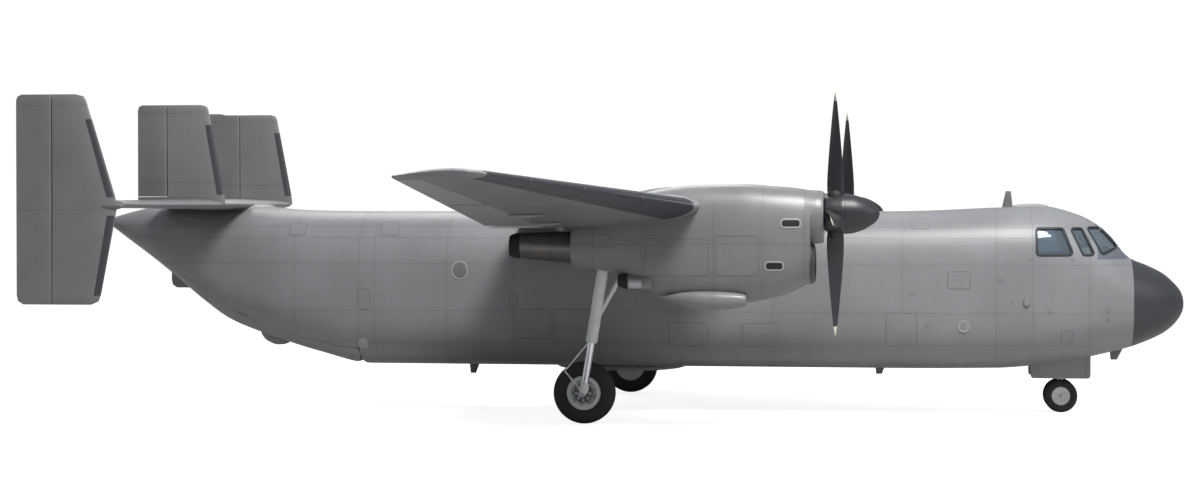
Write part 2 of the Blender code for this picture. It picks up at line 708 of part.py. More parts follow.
def slanted_ring(inner, outer, inner_span, outer_span, start):
    """A ring of (x, rel, span) whose span grows behind the fold pivot, so that the panel folds clear."""
    ring = []
    for (x0, rel0), (x1, rel1) in zip(inner, outer):
        span = start + max(0.0, PIVOT_X - x0) * FOLD_SLANT
        t = (span - inner_span) / (outer_span - inner_span)
        ring.append((blend(x0, x1, t), blend(rel0, rel1, t), span))
    return ring


def outer_panel_rings(ring_at, start, spans):
    first = slanted_ring(ring_at(start), ring_at(OUTER_FLAP_END), start, OUTER_FLAP_END, start)
    return [first] + [[(x, rel, span) for x, rel in ring] for span, ring in spans]


def flap_ring(span):
    return moving_ring(wing_section(span), FLAP_HINGE)


def panel_ring(span):
    return fixed_ring(wing_section(span), FLAP_HINGE, RUN_GAP)


def make_outer_wing(side, word):
    place = across(side)
    start = FOLD_Y + FOLD_GAP
    spans = seat_pad(6.4) + [(8.306, RUN_GAP), (8.31, None), (8.42, None), (8.424, RUN_GAP)]
    spans += seat_pad(10.2) + [(11.856, RUN_GAP), (11.86, None), (12.20, None)]
    stations = fixed_stations(wing_section, FLAP_HINGE, spans)
    front, front_rel, rear, rear_rel, thickness, camber = WING_TIP
    tip = (front - 0.07, front_rel, rear + 0.05, rear_rel, thickness * 0.4, camber)
    stations.append((TIP_Y, fixed_ring(tip, FLAP_HINGE, None)))
    rings = outer_panel_rings(panel_ring, start, stations)
    panel = loft(f"wing_outer_{word}", [[place(*point) for point in ring] for ring in rings])
    x, y, z = FOLD_PIVOT
    point = (x, side * y, z)
    bpy.ops.mesh.primitive_uv_sphere_add(segments=16, ring_count=10, radius=FOLD_BALL, location=point)
    join(panel, bpy.context.object)
    pivot(panel, point)

    rings = outer_panel_rings(flap_ring, start + 0.012, [(s, flap_ring(s)) for s in (5.5, OUTER_FLAP_END)])
    flap = loft(f"flap_outer_{word}", [[place(*point) for point in ring] for ring in rings])
    pivot(flap, hinge_point(wing_section(5.0), FLAP_HINGE, place, 5.0))
    aileron = skin(f"aileron_{word}", [(s, flap_ring(s)) for s in AILERON], place)
    pivot(aileron, hinge_point(wing_section(AILERON[0]), FLAP_HINGE, place, AILERON[0]))
    flap = skin(f"flap_inner_{word}", [(s, flap_ring(s)) for s in INNER_FLAP], place)
    pivot(flap, hinge_point(wing_section(INNER_FLAP[0]), FLAP_HINGE, place, INNER_FLAP[0]))


# Tailplane sections, columns as on the wing
TAILPLANE_MIDDLE = (-5.95, 0.05, -7.40, 0.05, 0.17, 0.0)
TAILPLANE_KNEE = (-6.00, 0.05, -7.40, 0.05, 0.15, 0.0)
TAILPLANE_TIP = (-7.04, 0.05, -8.15, 0.05, 0.11, 0.0)
ELEVATOR_HINGE = 0.68
INNER_ELEVATOR = (0.98, 1.80)
OUTER_ELEVATOR = (2.20, 3.55)
SWEPT_NOSE = 0.89


def tailplane_section(span):
    if span <= INNER_FIN_Y:
        return blend_section(TAILPLANE_MIDDLE, TAILPLANE_KNEE, span / INNER_FIN_Y)
    return blend_section(TAILPLANE_KNEE, TAILPLANE_TIP, (span - INNER_FIN_Y) / (OUTER_FIN_Y - INNER_FIN_Y))


def make_tailplane(name, grow=0.0):
    half = [(0.0, None), (INNER_ELEVATOR[0] - 0.012, None), (INNER_ELEVATOR[0] - 0.008, RUN_GAP)]
    half += seat_pad(1.35) + [(INNER_ELEVATOR[1] + 0.008, RUN_GAP), (INNER_ELEVATOR[1] + 0.012, None)]
    half += [(INNER_FIN_Y, None), (OUTER_ELEVATOR[0] - 0.012, None), (OUTER_ELEVATOR[0] - 0.008, RUN_GAP)]
    half += seat_pad(2.85) + [(OUTER_ELEVATOR[1] + 0.008, RUN_GAP), (OUTER_FIN_Y, RUN_GAP)]
    spans = [(-span, gap) for span, gap in reversed(half[1:])] + half
    stations = fixed_stations(lambda s: tailplane_section(abs(s)), ELEVATOR_HINGE, spans, grow)
    return skin(name, stations, across(1))


# Fins from the foot up: rel, leading edge x, rear edge x, thickness
OUTER_FIN = (
    (-1.436, -7.52, -8.56, 0.030),
    (-1.385, -7.40, -8.64, 0.060),
    (-1.300, -7.37, -8.66, 0.080),
    (0.037, -7.11, -8.66, 0.150),
    (1.580, -7.583, -8.66, 0.090),
    (1.640, -7.62, -8.64, 0.060),
    (1.671, -7.74, -8.58, 0.030),
)
INNER_FIN = (
    (0.050, -5.98, -7.37, 0.140),
    (0.157, -5.99, -7.37, 0.138),
    (1.500, -6.245, -7.37, 0.090),
    (1.555, -6.27, -7.35, 0.060),
    (1.579, -6.36, -7.30, 0.030),
)
OUTER_HINGE_X = -8.14
INNER_HINGE_X = -6.93
INNER_RUDDER_FOOT = 0.168
OUTER_PADS = (0.3,)
INNER_PADS = (0.8,)
# Bullet where the tailplane meets an outer fin: x, half width, top rel, bottom rel
TAIL_BULLET = (
    (-7.01, 0.010, 0.032, 0.012),
    (-7.06, 0.038, 0.058, -0.014),
    (-7.16, 0.062, 0.080, -0.036),
    (-7.28, 0.070, 0.086, -0.042),
    (-7.46, 0.055, 0.070, -0.028),
    (-7.62, 0.020, 0.040, 0.005),
)


def fin_section(table, span):
    front, rear, thickness = at(table, span)
    return (front, 0.0, rear, 0.0, thickness, 0.0)


def share_at(hinge_x, section):
    return (section[0] - hinge_x) / (section[0] - section[2])


def fin_stations(table, hinge_x, pads, foot=None, grow=0.0):
    """The fixed fin: whole chord below foot, and cut ahead of the rudder above it."""
    spans = [(row[0], RUN_GAP if foot is None or row[0] > foot else None) for row in table]
    if foot is not None:
        spans.append((foot - 0.004, RUN_GAP))
        spans.append((foot - 0.007, None))
    for pad in pads:
        spans += seat_pad(pad)
    stations = []
    for span, gap in sorted(spans):
        section = fin_section(table, span)
        stations.append((span, fixed_ring(section, share_at(hinge_x, section), gap, grow)))
    return stations


def rudder_stations(table, hinge_x, foot, pads):
    spans = [foot] + [row[0] for row in table if row[0] > foot]
    for pad in pads:
        spans += [span for span, _ in seat_pad(pad)]
    stations = []
    for span in sorted(spans):
        section = fin_section(table, span)
        stations.append((span, moving_ring(section, share_at(hinge_x, section))))
    return stations


def make_tail():
    tailplane = make_tailplane("tailplane")
    for side, word in ((1, "left"), (-1, "right")):
        y = side * OUTER_FIN_Y
        join(tailplane, pod("tail_bullet", y, TAIL_BULLET))
        skin(f"fin_outer_{word}", fin_stations(OUTER_FIN, OUTER_HINGE_X, OUTER_PADS), upright(y))
        seat = fin_stations(OUTER_FIN, OUTER_HINGE_X, (), grow=SEAT_GAP)
        cut(tailplane, skin("fin_seat", seat, upright(y)))
        rudder = rudder_stations(OUTER_FIN, OUTER_HINGE_X, OUTER_FIN[0][0], OUTER_PADS)
        pivot(skin(f"rudder_outer_{word}", rudder, upright(y)), (OUTER_HINGE_X, y, EYE))

        y = side * INNER_FIN_Y
        stations = fin_stations(INNER_FIN, INNER_HINGE_X, INNER_PADS, INNER_RUDDER_FOOT)
        fin = skin(f"fin_inner_{word}", stations, upright(y))
        cut(fin, make_tailplane("tailplane_seat", SEAT_GAP))
        rudder = rudder_stations(INNER_FIN, INNER_HINGE_X, INNER_RUDDER_FOOT, INNER_PADS)
        pivot(skin(f"rudder_inner_{word}", rudder, upright(y)), (INNER_HINGE_X, y, EYE))

        place = across(side)
        for where, ends, height in (("inner", INNER_ELEVATOR, 1.0), ("outer", OUTER_ELEVATOR, SWEPT_NOSE)):
            stations = [(span, moving_ring(tailplane_section(span), ELEVATOR_HINGE, height)) for span in ends]
            elevator = skin(f"elevator_{where}_{word}", stations, place)
            pivot(elevator, hinge_point(tailplane_section(ends[0]), ELEVATOR_HINGE, place, ends[0]))


# Nacelle stations from the front back: x, half width, top rel, bottom rel, squareness
NACELLE = (
    (3.067, 0.420, 0.245, -1.055, 2.3),
    (2.784, 0.460, 0.285, -1.200, 2.4),
    (2.515, 0.490, 0.305, -1.286, 2.5),
    (2.100, 0.510, 0.334, -1.352, 2.6),
    (1.400, 0.520, 0.320, -1.345, 2.8),
    (0.960, 0.520, 0.270, -1.294, 2.8),
    (0.657, 0.510, 0.200, -1.195, 2.8),
    (0.282, 0.500, 0.060, -0.953, 2.8),
    (-0.311, 0.470, -0.200, -0.855, 3.0),
)
COWL_FRONT = 3.25
ENGINE_REAR = 0.76
WELL = dict(front=0.60, rear=-0.24, half=0.21, roof=EYE - 0.62)
# Cooling pod low on the outboard side, open at its front: x, half width, top rel, bottom rel
POD_SIDE = 0.36
COOLING_POD = (
    (2.174, 0.095, -1.235, -1.385),
    (2.120, 0.110, -1.215, -1.400),
    (1.940, 0.140, -1.192, -1.432),
    (1.710, 0.155, -1.179, -1.450),
    (1.510, 0.150, -1.179, -1.440),
    (1.310, 0.120, -1.190, -1.405),
    (1.120, 0.070, -1.225, -1.350),
    (0.960, 0.010, -1.275, -1.290),
)
POD_MOUTH = ((2.224, 0.075, -1.255, -1.365), (2.040, 0.065, -1.265, -1.355))
# Small air outlet behind the nacelle's step: x, half width, top rel, bottom rel
OUTLET_SIDE = 0.37
OUTLET = ((0.850, 0.110, -0.940, -1.165), (0.520, 0.105, -0.930, -1.160), (0.350, 0.070, -0.950, -1.110))
# Raised lip of the chin intake: x, half width, top rel, bottom rel
INTAKE_LIP = ((2.880, 0.385, -0.420, -1.110), (3.060, 0.365, -0.510, -1.075), (3.130, 0.330, -0.545, -1.045))
# Exhaust pipe and its bore: x, middle rel, radius
PIPE = (
    (-0.3113, -0.576, 0.232),
    (-1.090, -0.552, 0.184),
    (-1.180, -0.552, 0.176),
    (-1.253, -0.555, 0.150),
)
BORE = (
    (-1.303, -0.555, 0.128),
    (-1.253, -0.555, 0.128),
    (-1.150, -0.552, 0.155),
    (-0.450, -0.575, 0.190),
)
# Engine block: x, middle rel, half size
ENGINE = ((ENGINE_REAR, -0.57, 0.28), (2.94, -0.18, 0.28))


def nacelle_rings(y, front, rear, shrink=0.0):
    spots = [front] + [row[0] for row in NACELLE if rear < row[0] < front] + [rear]
    rings = []
    for x in spots:
        half_width, top, bottom, squareness = at(NACELLE, x)
        top = EYE + top - shrink
        rings.append(oval(x, y, half_width - shrink, top, EYE + bottom + shrink, squareness, 24))
    return rings


def round_rings(y, rows, squareness, count):
    """Rings about a line at this y. rows holds x, middle rel and half size."""
    rings = []
    for x, middle, half in rows:
        rings.append(oval(x, y, half, EYE + middle + half, EYE + middle - half, squareness, count))
    return rings


def make_nacelle(side, word):
    y = side * NACELLE_Y
    nacelle = loft(f"nacelle_{word}", nacelle_rings(y, NACELLE[0][0], NACELLE[-1][0]), "nacelle_paint")
    collar = ((2.60, 0.30), (2.60, 0.37), (3.00, 0.385), (COWL_FRONT, 0.36))
    join(nacelle, turned("cowl_nose", "X", (0.0, y, EYE - 0.135), collar, 20))
    join(nacelle, pod("intake_lip", y, INTAKE_LIP, 2.2, 20))
    join(nacelle, pod("outlet", y + side * OUTLET_SIDE, OUTLET))
    join(nacelle, pod("cooling_pod", y + side * POD_SIDE, COOLING_POD))
    cut(nacelle, pod("pod_mouth", y + side * POD_SIDE, POD_MOUTH))
    cut(nacelle, loft("engine_bay", nacelle_rings(y, 2.98, ENGINE_REAR - SEAT_GAP, 0.05)))
    mouth = [oval(x, y, 0.29, EYE - 0.59, EYE - 1.005, 2.2, 16) for x in (3.3, 2.6)]
    cut(nacelle, loft("intake_mouth", mouth), make_wing_centre("wing_seat", SEAT_GAP))
    low = (WELL["rear"], y - WELL["half"], 1.5)
    cut(nacelle, box("wheel_well", low, (WELL["front"], y + WELL["half"], WELL["roof"])))

    loft(f"engine_{word}", round_rings(y, ENGINE, 2.4, 16), "hot_metal")
    pipe = loft(f"exhaust_{word}", round_rings(y, PIPE, 2.0, 20), "hot_metal")
    cut(pipe, loft("pipe_bore", round_rings(y, BORE, 2.0, 20)))


# Propeller blade from the root out: radius, chord, pitch in degrees, thickness. Its edge is in half sizes
BLADE = (
    (0.16, 0.20, 62, 0.120),
    (0.34, 0.25, 60, 0.080),
    (0.60, 0.33, 50, 0.060),
    (0.90, 0.36, 40, 0.046),
    (1.20, 0.35, 31, 0.036),
    (1.45, 0.30, 25, 0.027),
    (1.62, 0.22, 21, 0.018),
    (PROP_RADIUS, 0.06, 19, 0.010),
)
BLADE_EDGE = ((-1, 0), (-0.5, 0.85), (0.4, 0.8), (1, 0), (0.4, -0.8), (-0.5, -0.85))
BLADE_LEAN = 3.5
# Hub and spinner along the propeller shaft: distance ahead of the blades, radius
HUB = ((-0.1597, 0.10), (-0.153, 0.10), (-0.152, 0.225), (-0.08, 0.26), (0.08, 0.275), (0.140, 0.278))
SPINNER = (
    (0.1403, 0.285),
    (0.250, 0.272),
    (0.370, 0.235),
    (0.490, 0.172),
    (0.575, 0.105),
    (0.615, 0.045),
    (0.626, 0.015),
)


def blade_loft(centre, angle):
    out = (math.cos(angle), math.sin(angle))
    turn = (-math.sin(angle), math.cos(angle))
    rings = []
    for radius, chord, pitch, thickness in BLADE:
        c = math.cos(math.radians(pitch))
        s = math.sin(math.radians(pitch))
        ring = []
        for u, v in BLADE_EDGE:
            along = u * chord / 2
            over = v * thickness / 2
            x = centre[0] + along * s + over * c
            sweep = along * c - over * s
            y = centre[1] + out[0] * radius + turn[0] * sweep
            ring.append((x, y, centre[2] + out[1] * radius + turn[1] * sweep))
        rings.append(ring)
    return loft("blade", rings)


def make_propeller(side, word):
    centre = (PROP_X, side * NACELLE_Y, PROP_Z)
    hub = turned(f"propeller_{word}", "X", centre, HUB, 20, "prop_black")
    for quarter in range(4):
        join(hub, blade_loft(centre, math.radians(90 * quarter + BLADE_LEAN)))
    pivot(hub, centre)
    spinner = turned(f"spinner_{word}", "X", centre, SPINNER, 20, "prop_black")
    spinner.data.shade_smooth()
    pivot(spinner, centre)


# Tyre profile as shares of half width and of the wall between rim and tread
TYRE_HALF = ((0.45, 1.0), (0.85, 0.85), (1.0, 0.40), (0.85, 0.0))
TYRE = [(-width, share) for width, share in reversed(TYRE_HALF)] + list(TYRE_HALF)


def make_wheel(size, word, side, stem):
    """A tyre and its rim, which is dished on the side that faces its leg."""
    centre = (size["x"], side * size["y"], size["radius"])
    wall = size["radius"] - size["rim"]
    profile = [(w * size["half_width"], size["rim"] + share * wall) for w, share in TYRE]
    pivot(hoop(f"{stem}_tyre_{word}", centre, profile), centre)
    half = size["half_width"] * 0.8
    edge = size["rim"] - SEAT_GAP
    shape = ((-half * 0.6, edge * 0.5), (-half, edge * 0.8), (-half, edge))
    shape += tuple((-along, radius) for along, radius in reversed(shape))
    pivot(turned(f"{stem}_rim_{word}", "Y", centre, shape, 28), centre)
    return half * 0.6


# Main leg, port side: where it meets the well's roof, its wheel end, and shares of the way between them
LEG_TOP = (0.12, 3.68, WELL["roof"] - SEAT_GAP - 0.08)
LEG_FOOT = (MAIN_WHEEL["x"] + 0.02, MAIN_WHEEL["y"] + 0.30, MAIN_WHEEL["radius"] + 0.02)
LEG_ELBOW = (MAIN_WHEEL["x"] - 0.24, MAIN_WHEEL["y"] + 0.40, MAIN_WHEEL["radius"] + 0.34)
LINK_FOOT = (MAIN_WHEEL["x"] - 0.02, MAIN_WHEEL["y"] + 0.30, MAIN_WHEEL["radius"] + 0.06)
BRACE_TOP = (0.52, 3.70, WELL["roof"] - SEAT_GAP - 0.06)
CYLINDER_END = 0.62
PISTON_START = 0.58
LINK_JOINT = 0.60
BRACE_JOINT = 0.50
AXLE_OUTER = 0.36


def make_main_gear(side, word):
    def mirrored(point):
        return (point[0], side * point[1], point[2])

    def down_leg(share):
        return mirrored([blend(top, foot, share) for top, foot in zip(LEG_TOP, LEG_FOOT)])

    def lug(name, x0, x1, y0, y1, depth):
        low, high = sorted((side * y0, side * y1))
        return box(name, (x0, low, WELL["roof"] - SEAT_GAP - depth), (x1, high, WELL["roof"] - SEAT_GAP))

    dish = make_wheel(MAIN_WHEEL, word, side, "main")
    x, y, z = MAIN_WHEEL["x"], MAIN_WHEEL["y"], MAIN_WHEEL["radius"]
    axle = (mirrored((x, y + AXLE_OUTER, z)), mirrored((x, y + dish + SEAT_GAP, z)))
    leg = rod(f"main_leg_{word}", mirrored(LEG_TOP), down_leg(CYLINDER_END), 0.085)
    join(leg, lug("trunnion", -0.02, 0.26, 3.56, 3.80, 0.16))
    join(leg, rod("piston", down_leg(PISTON_START), mirrored(LEG_FOOT), 0.055))
    join(leg, rod("axle", *axle, 0.05))
    join(leg, rod("drag_brace", mirrored(BRACE_TOP), down_leg(BRACE_JOINT), 0.035, sides=10))
    join(leg, lug("brace_foot", 0.47, 0.57, 3.66, 3.74, 0.10))
    join(leg, rod("lower_link", mirrored(LINK_FOOT), mirrored(LEG_ELBOW), 0.022, sides=8))
    join(leg, rod("upper_link", mirrored(LEG_ELBOW), down_leg(LINK_JOINT), 0.022, sides=8))


# Nose leg: the heights of the steering joint and of the brace's ends
STEER_JOINT = 0.62
BRACE_REACH = 0.38
BRACE_HIGH = 1.10
BRACE_LOW = 0.75
NOSE_DOOR = dict(front=7.23, rear=6.32, inner=0.345, outer=0.365, foot=0.535, head=0.98)


def make_nose_gear():
    x, z = NOSE_WHEEL["x"], NOSE_WHEEL["radius"]
    for side, word in ((1, "left"), (-1, "right")):
        dish = make_wheel(NOSE_WHEEL, word, side, "nose")
    roof = NOSE_BAY_ROOF - SEAT_GAP
    leg = rod("nose_leg", (x, 0.0, roof), (x, 0.0, STEER_JOINT), 0.065)
    join(leg, rod("drag_brace", (x - BRACE_REACH, 0.0, BRACE_HIGH), (x, 0.0, BRACE_LOW), 0.03, sides=10))
    low = (x - BRACE_REACH - 0.06, -0.05, BRACE_HIGH - 0.04)
    join(leg, box("brace_foot", low, (x - BRACE_REACH + 0.04, 0.05, roof)))
    fork = rod("nose_steering", (x, 0.0, STEER_JOINT - SEAT_GAP), (x, 0.0, z), 0.05)
    reach = NOSE_WHEEL["y"] - dish - SEAT_GAP
    join(fork, rod("axle", (x, -reach, z), (x, reach, z), 0.035))
    pivot(fork, (x, 0.0, z))
    for side, word in ((1, "left"), (-1, "right")):
        ends = sorted((side * NOSE_DOOR["inner"], side * NOSE_DOOR["outer"]))
        low = (NOSE_DOOR["rear"], ends[0], NOSE_DOOR["foot"])
        door = box(f"nose_door_{word}", low, (NOSE_DOOR["front"], ends[1], NOSE_DOOR["head"]))
        cut(door, fuselage_loft("door_seat", 7.6, 6.0, -SEAT_GAP))


make_tail_doors()
make_tail_section()
make_cockpit()
make_cabin()
make_wing_centre("wing_centre")
make_tail()
for side, word in ((1, "left"), (-1, "right")):
    make_outer_wing(side, word)
    make_nacelle(side, word)
    make_propeller(side, word)
    make_main_gear(side, word)
make_nose_gear()

for piece in bpy.data.objects:
    piece.data.set_sharp_from_angle(angle=math.radians(30))
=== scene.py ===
"""Looks of the parked transport plane: smooth skins, paint, glass, propellers, gear and small fittings.

Metres, +X to the nose, +Y to port, +Z up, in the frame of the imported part.
Heights named rel are taken from EYE, a little above the roof of the cabin.
"""

import math

import bmesh
import bpy
import numpy as np
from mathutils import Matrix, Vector

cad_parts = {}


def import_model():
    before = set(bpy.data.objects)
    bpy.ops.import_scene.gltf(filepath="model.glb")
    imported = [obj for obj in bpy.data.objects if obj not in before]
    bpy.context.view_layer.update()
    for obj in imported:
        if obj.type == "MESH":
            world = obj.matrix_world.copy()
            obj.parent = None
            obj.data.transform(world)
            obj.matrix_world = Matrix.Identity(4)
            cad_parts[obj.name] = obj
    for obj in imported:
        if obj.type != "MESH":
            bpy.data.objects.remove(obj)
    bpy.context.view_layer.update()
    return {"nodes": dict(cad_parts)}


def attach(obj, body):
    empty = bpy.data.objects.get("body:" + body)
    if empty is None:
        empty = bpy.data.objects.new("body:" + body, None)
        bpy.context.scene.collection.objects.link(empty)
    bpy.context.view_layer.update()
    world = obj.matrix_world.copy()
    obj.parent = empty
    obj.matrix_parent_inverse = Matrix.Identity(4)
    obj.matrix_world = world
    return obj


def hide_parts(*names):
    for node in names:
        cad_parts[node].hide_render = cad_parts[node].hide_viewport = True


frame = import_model()

EYE = 3.17
NACELLE_Y = 3.70
PROP_X = 3.41
PROP_Z = EYE - 0.091
PROP_RADIUS = 1.73
FOLD_Y = 4.40
TIP_Y = 12.28
FIN_Y = 3.72
INNER_FIN_Y = 2.0
SIDES = ((1, "left"), (-1, "right"))
AXES = {"X": (1, 0, 0), "Y": (0, 1, 0), "Z": (0, 0, 1)}
# How far a solid's seat stands off what it sits on
TIGHT = 0.0003
# Gap round a control surface
GAP = 0.006
# Where the main rows of fasteners run beside a seam, and how often
RIVET_OFFSET, RIVET_PITCH = 0.030, 0.025


class Paint:
    """A Principled material and the nodes that feed it. Coordinates are the piece's own at rest."""

    def __init__(self, name, colour, rough, metal=0.0):
        self.material = bpy.data.materials.new(name)
        self.material.use_nodes = True
        self.tree = self.material.node_tree
        self.shader = self.tree.nodes["Principled BSDF"]
        self.set("Base Color", (*colour, 1.0))
        self.set("Roughness", rough)
        self.set("Metallic", metal)
        self.material.diffuse_color = (*colour, 1.0)
        self.coordinates = self.new("TexCoord").outputs["Object"]
        split = self.new("SeparateXYZ")
        self.link(self.coordinates, split.inputs[0])
        self.axis = dict(zip("XYZ", split.outputs))

    def new(self, kind):
        return self.tree.nodes.new("ShaderNode" + kind)

    def set(self, socket, value):
        self.shader.inputs[socket].default_value = value

    def link(self, output, socket):
        self.tree.links.new(output, socket)

    def math(self, operation, *values, clamp=False):
        node = self.new("Math")
        node.operation = operation
        node.use_clamp = clamp
        for k, value in enumerate(values):
            if isinstance(value, (int, float)):
                node.inputs[k].default_value = value
            else:
                self.link(value, node.inputs[k])
        return node.outputs[0]

    def step(self, value, low, high):
        """0 at low and 1 at high."""
        node = self.new("MapRange")
        node.interpolation_type = "SMOOTHSTEP"
        self.link(value, node.inputs["Value"])
        node.inputs["From Min"].default_value = low
        node.inputs["From Max"].default_value = high
        return node.outputs["Result"]

    def noise(self, scale, detail=4.0, stretch=(1.0, 1.0, 1.0)):
        mapping = self.new("Mapping")
        mapping.inputs["Scale"].default_value = stretch
        self.link(self.coordinates, mapping.inputs["Vector"])
        node = self.new("TexNoise")
        node.inputs["Scale"].default_value = scale
        node.inputs["Detail"].default_value = detail
        node.inputs["Roughness"].default_value = 0.55
        self.link(mapping.outputs[0], node.inputs["Vector"])
        return node.outputs["Fac"]

    def mix(self, factor, a, b):
        node = self.new("Mix")
        node.data_type = "RGBA"
        for value, socket in zip((factor, a, b), map(node.inputs.__getitem__, ("Factor", "A", "B"))):
            if isinstance(value, tuple):
                socket.default_value = (*value, 1.0)
            else:
                self.link(value, socket)
        return node.outputs["Result"]

    def near_lines(self, axis, spots, width):
        """1 on thin lines where the coordinate is one of spots, and the distance to the nearest one."""
        nearest = None
        for spot in spots:
            gap = self.math("ABSOLUTE", self.math("SUBTRACT", self.axis[axis], spot))
            nearest = gap if nearest is None else self.math("MINIMUM", nearest, gap)
        return self.math("SUBTRACT", 1.0, self.step(nearest, width * 0.35, width)), nearest

    def inside(self, limits):
        """1 in a box given as {axis: (low, high)}."""
        found = None
        for axis, (low, high) in limits.items():
            over = self.math("GREATER_THAN", self.axis[axis], low)
            under = self.math("LESS_THAN", self.axis[axis], high)
            both = self.math("MULTIPLY", over, under)
            found = both if found is None else self.math("MULTIPLY", found, both)
        return found

    def bump(self, height, strength, distance):
        node = self.new("Bump")
        node.inputs["Strength"].default_value = strength
        node.inputs["Distance"].default_value = distance
        self.link(height, node.inputs["Height"])
        self.link(node.outputs[0], self.shader.inputs["Normal"])


def shaded(colour, share):
    return tuple(c * share for c in colour)


def plain(name, colour, rough, metal=0.0, grain=0.12, scale=18.0):
    """A finish with a little uneven tone."""
    paint = Paint(name, colour, rough, metal)
    tone = paint.noise(scale)
    light = tuple(min(c, 1.0) for c in shaded(colour, 1 + grain))
    paint.link(paint.mix(tone, shaded(colour, 1 - grain), light), paint.shader.inputs["Base Color"])
    return paint.material


def service_grey(name, colour, seams, rough=0.42, patch=None, streak=(4.0, 4.0, 0.6), rivets=True):
    """Aircraft paint with seams, rivet rows, wear and streaks. seams maps an axis to its lines."""
    paint = Paint(name, colour, rough)
    cloud = paint.noise(0.9, 5.0)
    run = paint.noise(3.0, 4.0, streak)
    fine = paint.noise(26.0, 3.0)
    tone = paint.math("ADD", paint.math("MULTIPLY", cloud, 0.74), paint.math("MULTIPLY", run, 0.12))
    tone = paint.math("ADD", tone, paint.math("MULTIPLY", fine, 0.14))
    shade = paint.mix(paint.step(tone, 0.36, 0.64), shaded(colour, 0.92), shaded(colour, 1.07))
    height = None
    for axis, spots in seams.items():
        line, nearest = paint.near_lines(axis, spots, 0.007)
        shade = paint.mix(paint.math("MULTIPLY", line, 0.34), shade, shaded(colour, 0.35))
        grime = paint.math("SUBTRACT", 1.0, paint.step(nearest, 0.0, 0.10))
        grime = paint.math("MULTIPLY", grime, paint.math("MULTIPLY", run, 0.07))
        shade = paint.mix(grime, shade, shaded(colour, 0.35))
        height = line if height is None else paint.math("MAXIMUM", height, line)
        if rivets:
            near = paint.math("ABSOLUTE", paint.math("SUBTRACT", nearest, RIVET_OFFSET))
            row = paint.math("SUBTRACT", 1.0, paint.step(near, 0.002, 0.006))
            for other in "XYZ".replace(axis, ""):
                beat = paint.math("PINGPONG", paint.axis[other], RIVET_PITCH)
                row = paint.math("MULTIPLY", row, paint.math("GREATER_THAN", beat, 0.014))
            shade = paint.mix(paint.math("MULTIPLY", row, 0.16), shade, shaded(colour, 0.45))
    if patch:
        limits, tint = patch
        shade = paint.mix(paint.math("MULTIPLY", paint.inside(limits), 1.0), shade, tint)
    paint.link(shade, paint.shader.inputs["Base Color"])
    gloss = paint.math("ADD", paint.math("MULTIPLY", cloud, 0.22), rough - 0.11)
    paint.link(gloss, paint.shader.inputs["Roughness"])
    if height is not None:
        dent = paint.math("MULTIPLY", cloud, 0.5)
        paint.bump(paint.math("SUBTRACT", dent, height), 0.22, 0.005)
    return paint.material


def smooth_rule(rows, spread=None):
    """A rule giving the row at x, by monotone cubics through the stations. spread stretches fast turns."""
    spread = spread or (lambda x: x)
    data = np.array(sorted((spread(row[0]), *row[1:]) for row in rows), float)
    spots, values = data[:, 0], data[:, 1:]
    run = np.diff(spots)
    slope = np.diff(values, axis=0) / run[:, None]
    tangent = np.zeros_like(values)
    tangent[0], tangent[-1] = slope[0], slope[-1]
    for k in range(1, len(spots) - 1):
        a, b = slope[k - 1], slope[k]
        same = a * b > 0
        tangent[k] = np.where(same, 2 * a * b / np.where(same, a + b, 1.0), 0.0)

    def rule(x):
        s = float(np.clip(spread(x), spots[0], spots[-1]))
        k = int(np.clip(np.searchsorted(spots, s) - 1, 0, len(run) - 1))
        t = (s - spots[k]) / run[k]
        return (
            values[k] * (2 * t**3 - 3 * t**2 + 1)
            + tangent[k] * run[k] * (t**3 - 2 * t**2 + t)
            + values[k + 1] * (3 * t**2 - 2 * t**3)
            + tangent[k + 1] * run[k] * (t**3 - t**2)
        )

    return rule


def turns(count):
    return [2 * math.pi * k / count for k in range(count)]


def squared_oval(x, y, half, top, bottom, power, count=112):
    """A ring across the plane, evenly turned: half width, top and bottom rel, and how square it is."""
    middle, tall = EYE + (top + bottom) / 2, (top - bottom) / 2
    ring = []
    for a in turns(count):
        c, s = math.cos(a), math.sin(a)
        reach = (abs(c / half) ** power + abs(s / tall) ** power) ** (-1 / power)
        ring.append((x, y + reach * c, middle + reach * s))
    return ring


def spaced(low, high, step):
    count = max(2, int(abs(high - low) / step) + 1)
    return [float(x) for x in np.linspace(low, high, count)]


def obj(name, verts, faces, look):
    """A mesh piece with outward faces."""
    mesh = bpy.data.meshes.new(name)
    mesh.from_pydata([tuple(v) for v in verts], [], faces)
    shape = bmesh.new()
    shape.from_mesh(mesh)
    bmesh.ops.recalc_face_normals(shape, faces=shape.faces)
    if shape.calc_volume(signed=True) < 0:
        bmesh.ops.reverse_faces(shape, faces=shape.faces)
    shape.to_mesh(mesh)
    shape.free()
    mesh.materials.append(look)
    return placed(name, mesh)


def placed(name, data):
    made = bpy.data.objects.new(name, data)
    bpy.context.scene.collection.objects.link(made)
    return made


def loft(name, rings, look, closed=True):
    """A skin over rings with equal numbers of points, capped at both ends."""
    count = len(rings[0])
    verts = [point for ring in rings for point in ring]
    faces = []
    for a in range(0, len(verts) - count, count):
        b = a + count
        faces += [(a + k, a + (k + 1) % count, b + (k + 1) % count, b + k) for k in range(count)]
    if closed:
        faces += [tuple(range(count)), tuple(range(len(verts) - count, len(verts)))]
    return obj(name, verts, faces, look)


def box(name, low, high, look):
    (x0, y0, z0), (x1, y1, z1) = low, high
    return loft(name, [[(x, y0, z0), (x, y1, z0), (x, y1, z1), (x, y0, z1)] for x in (x0, x1)], look)


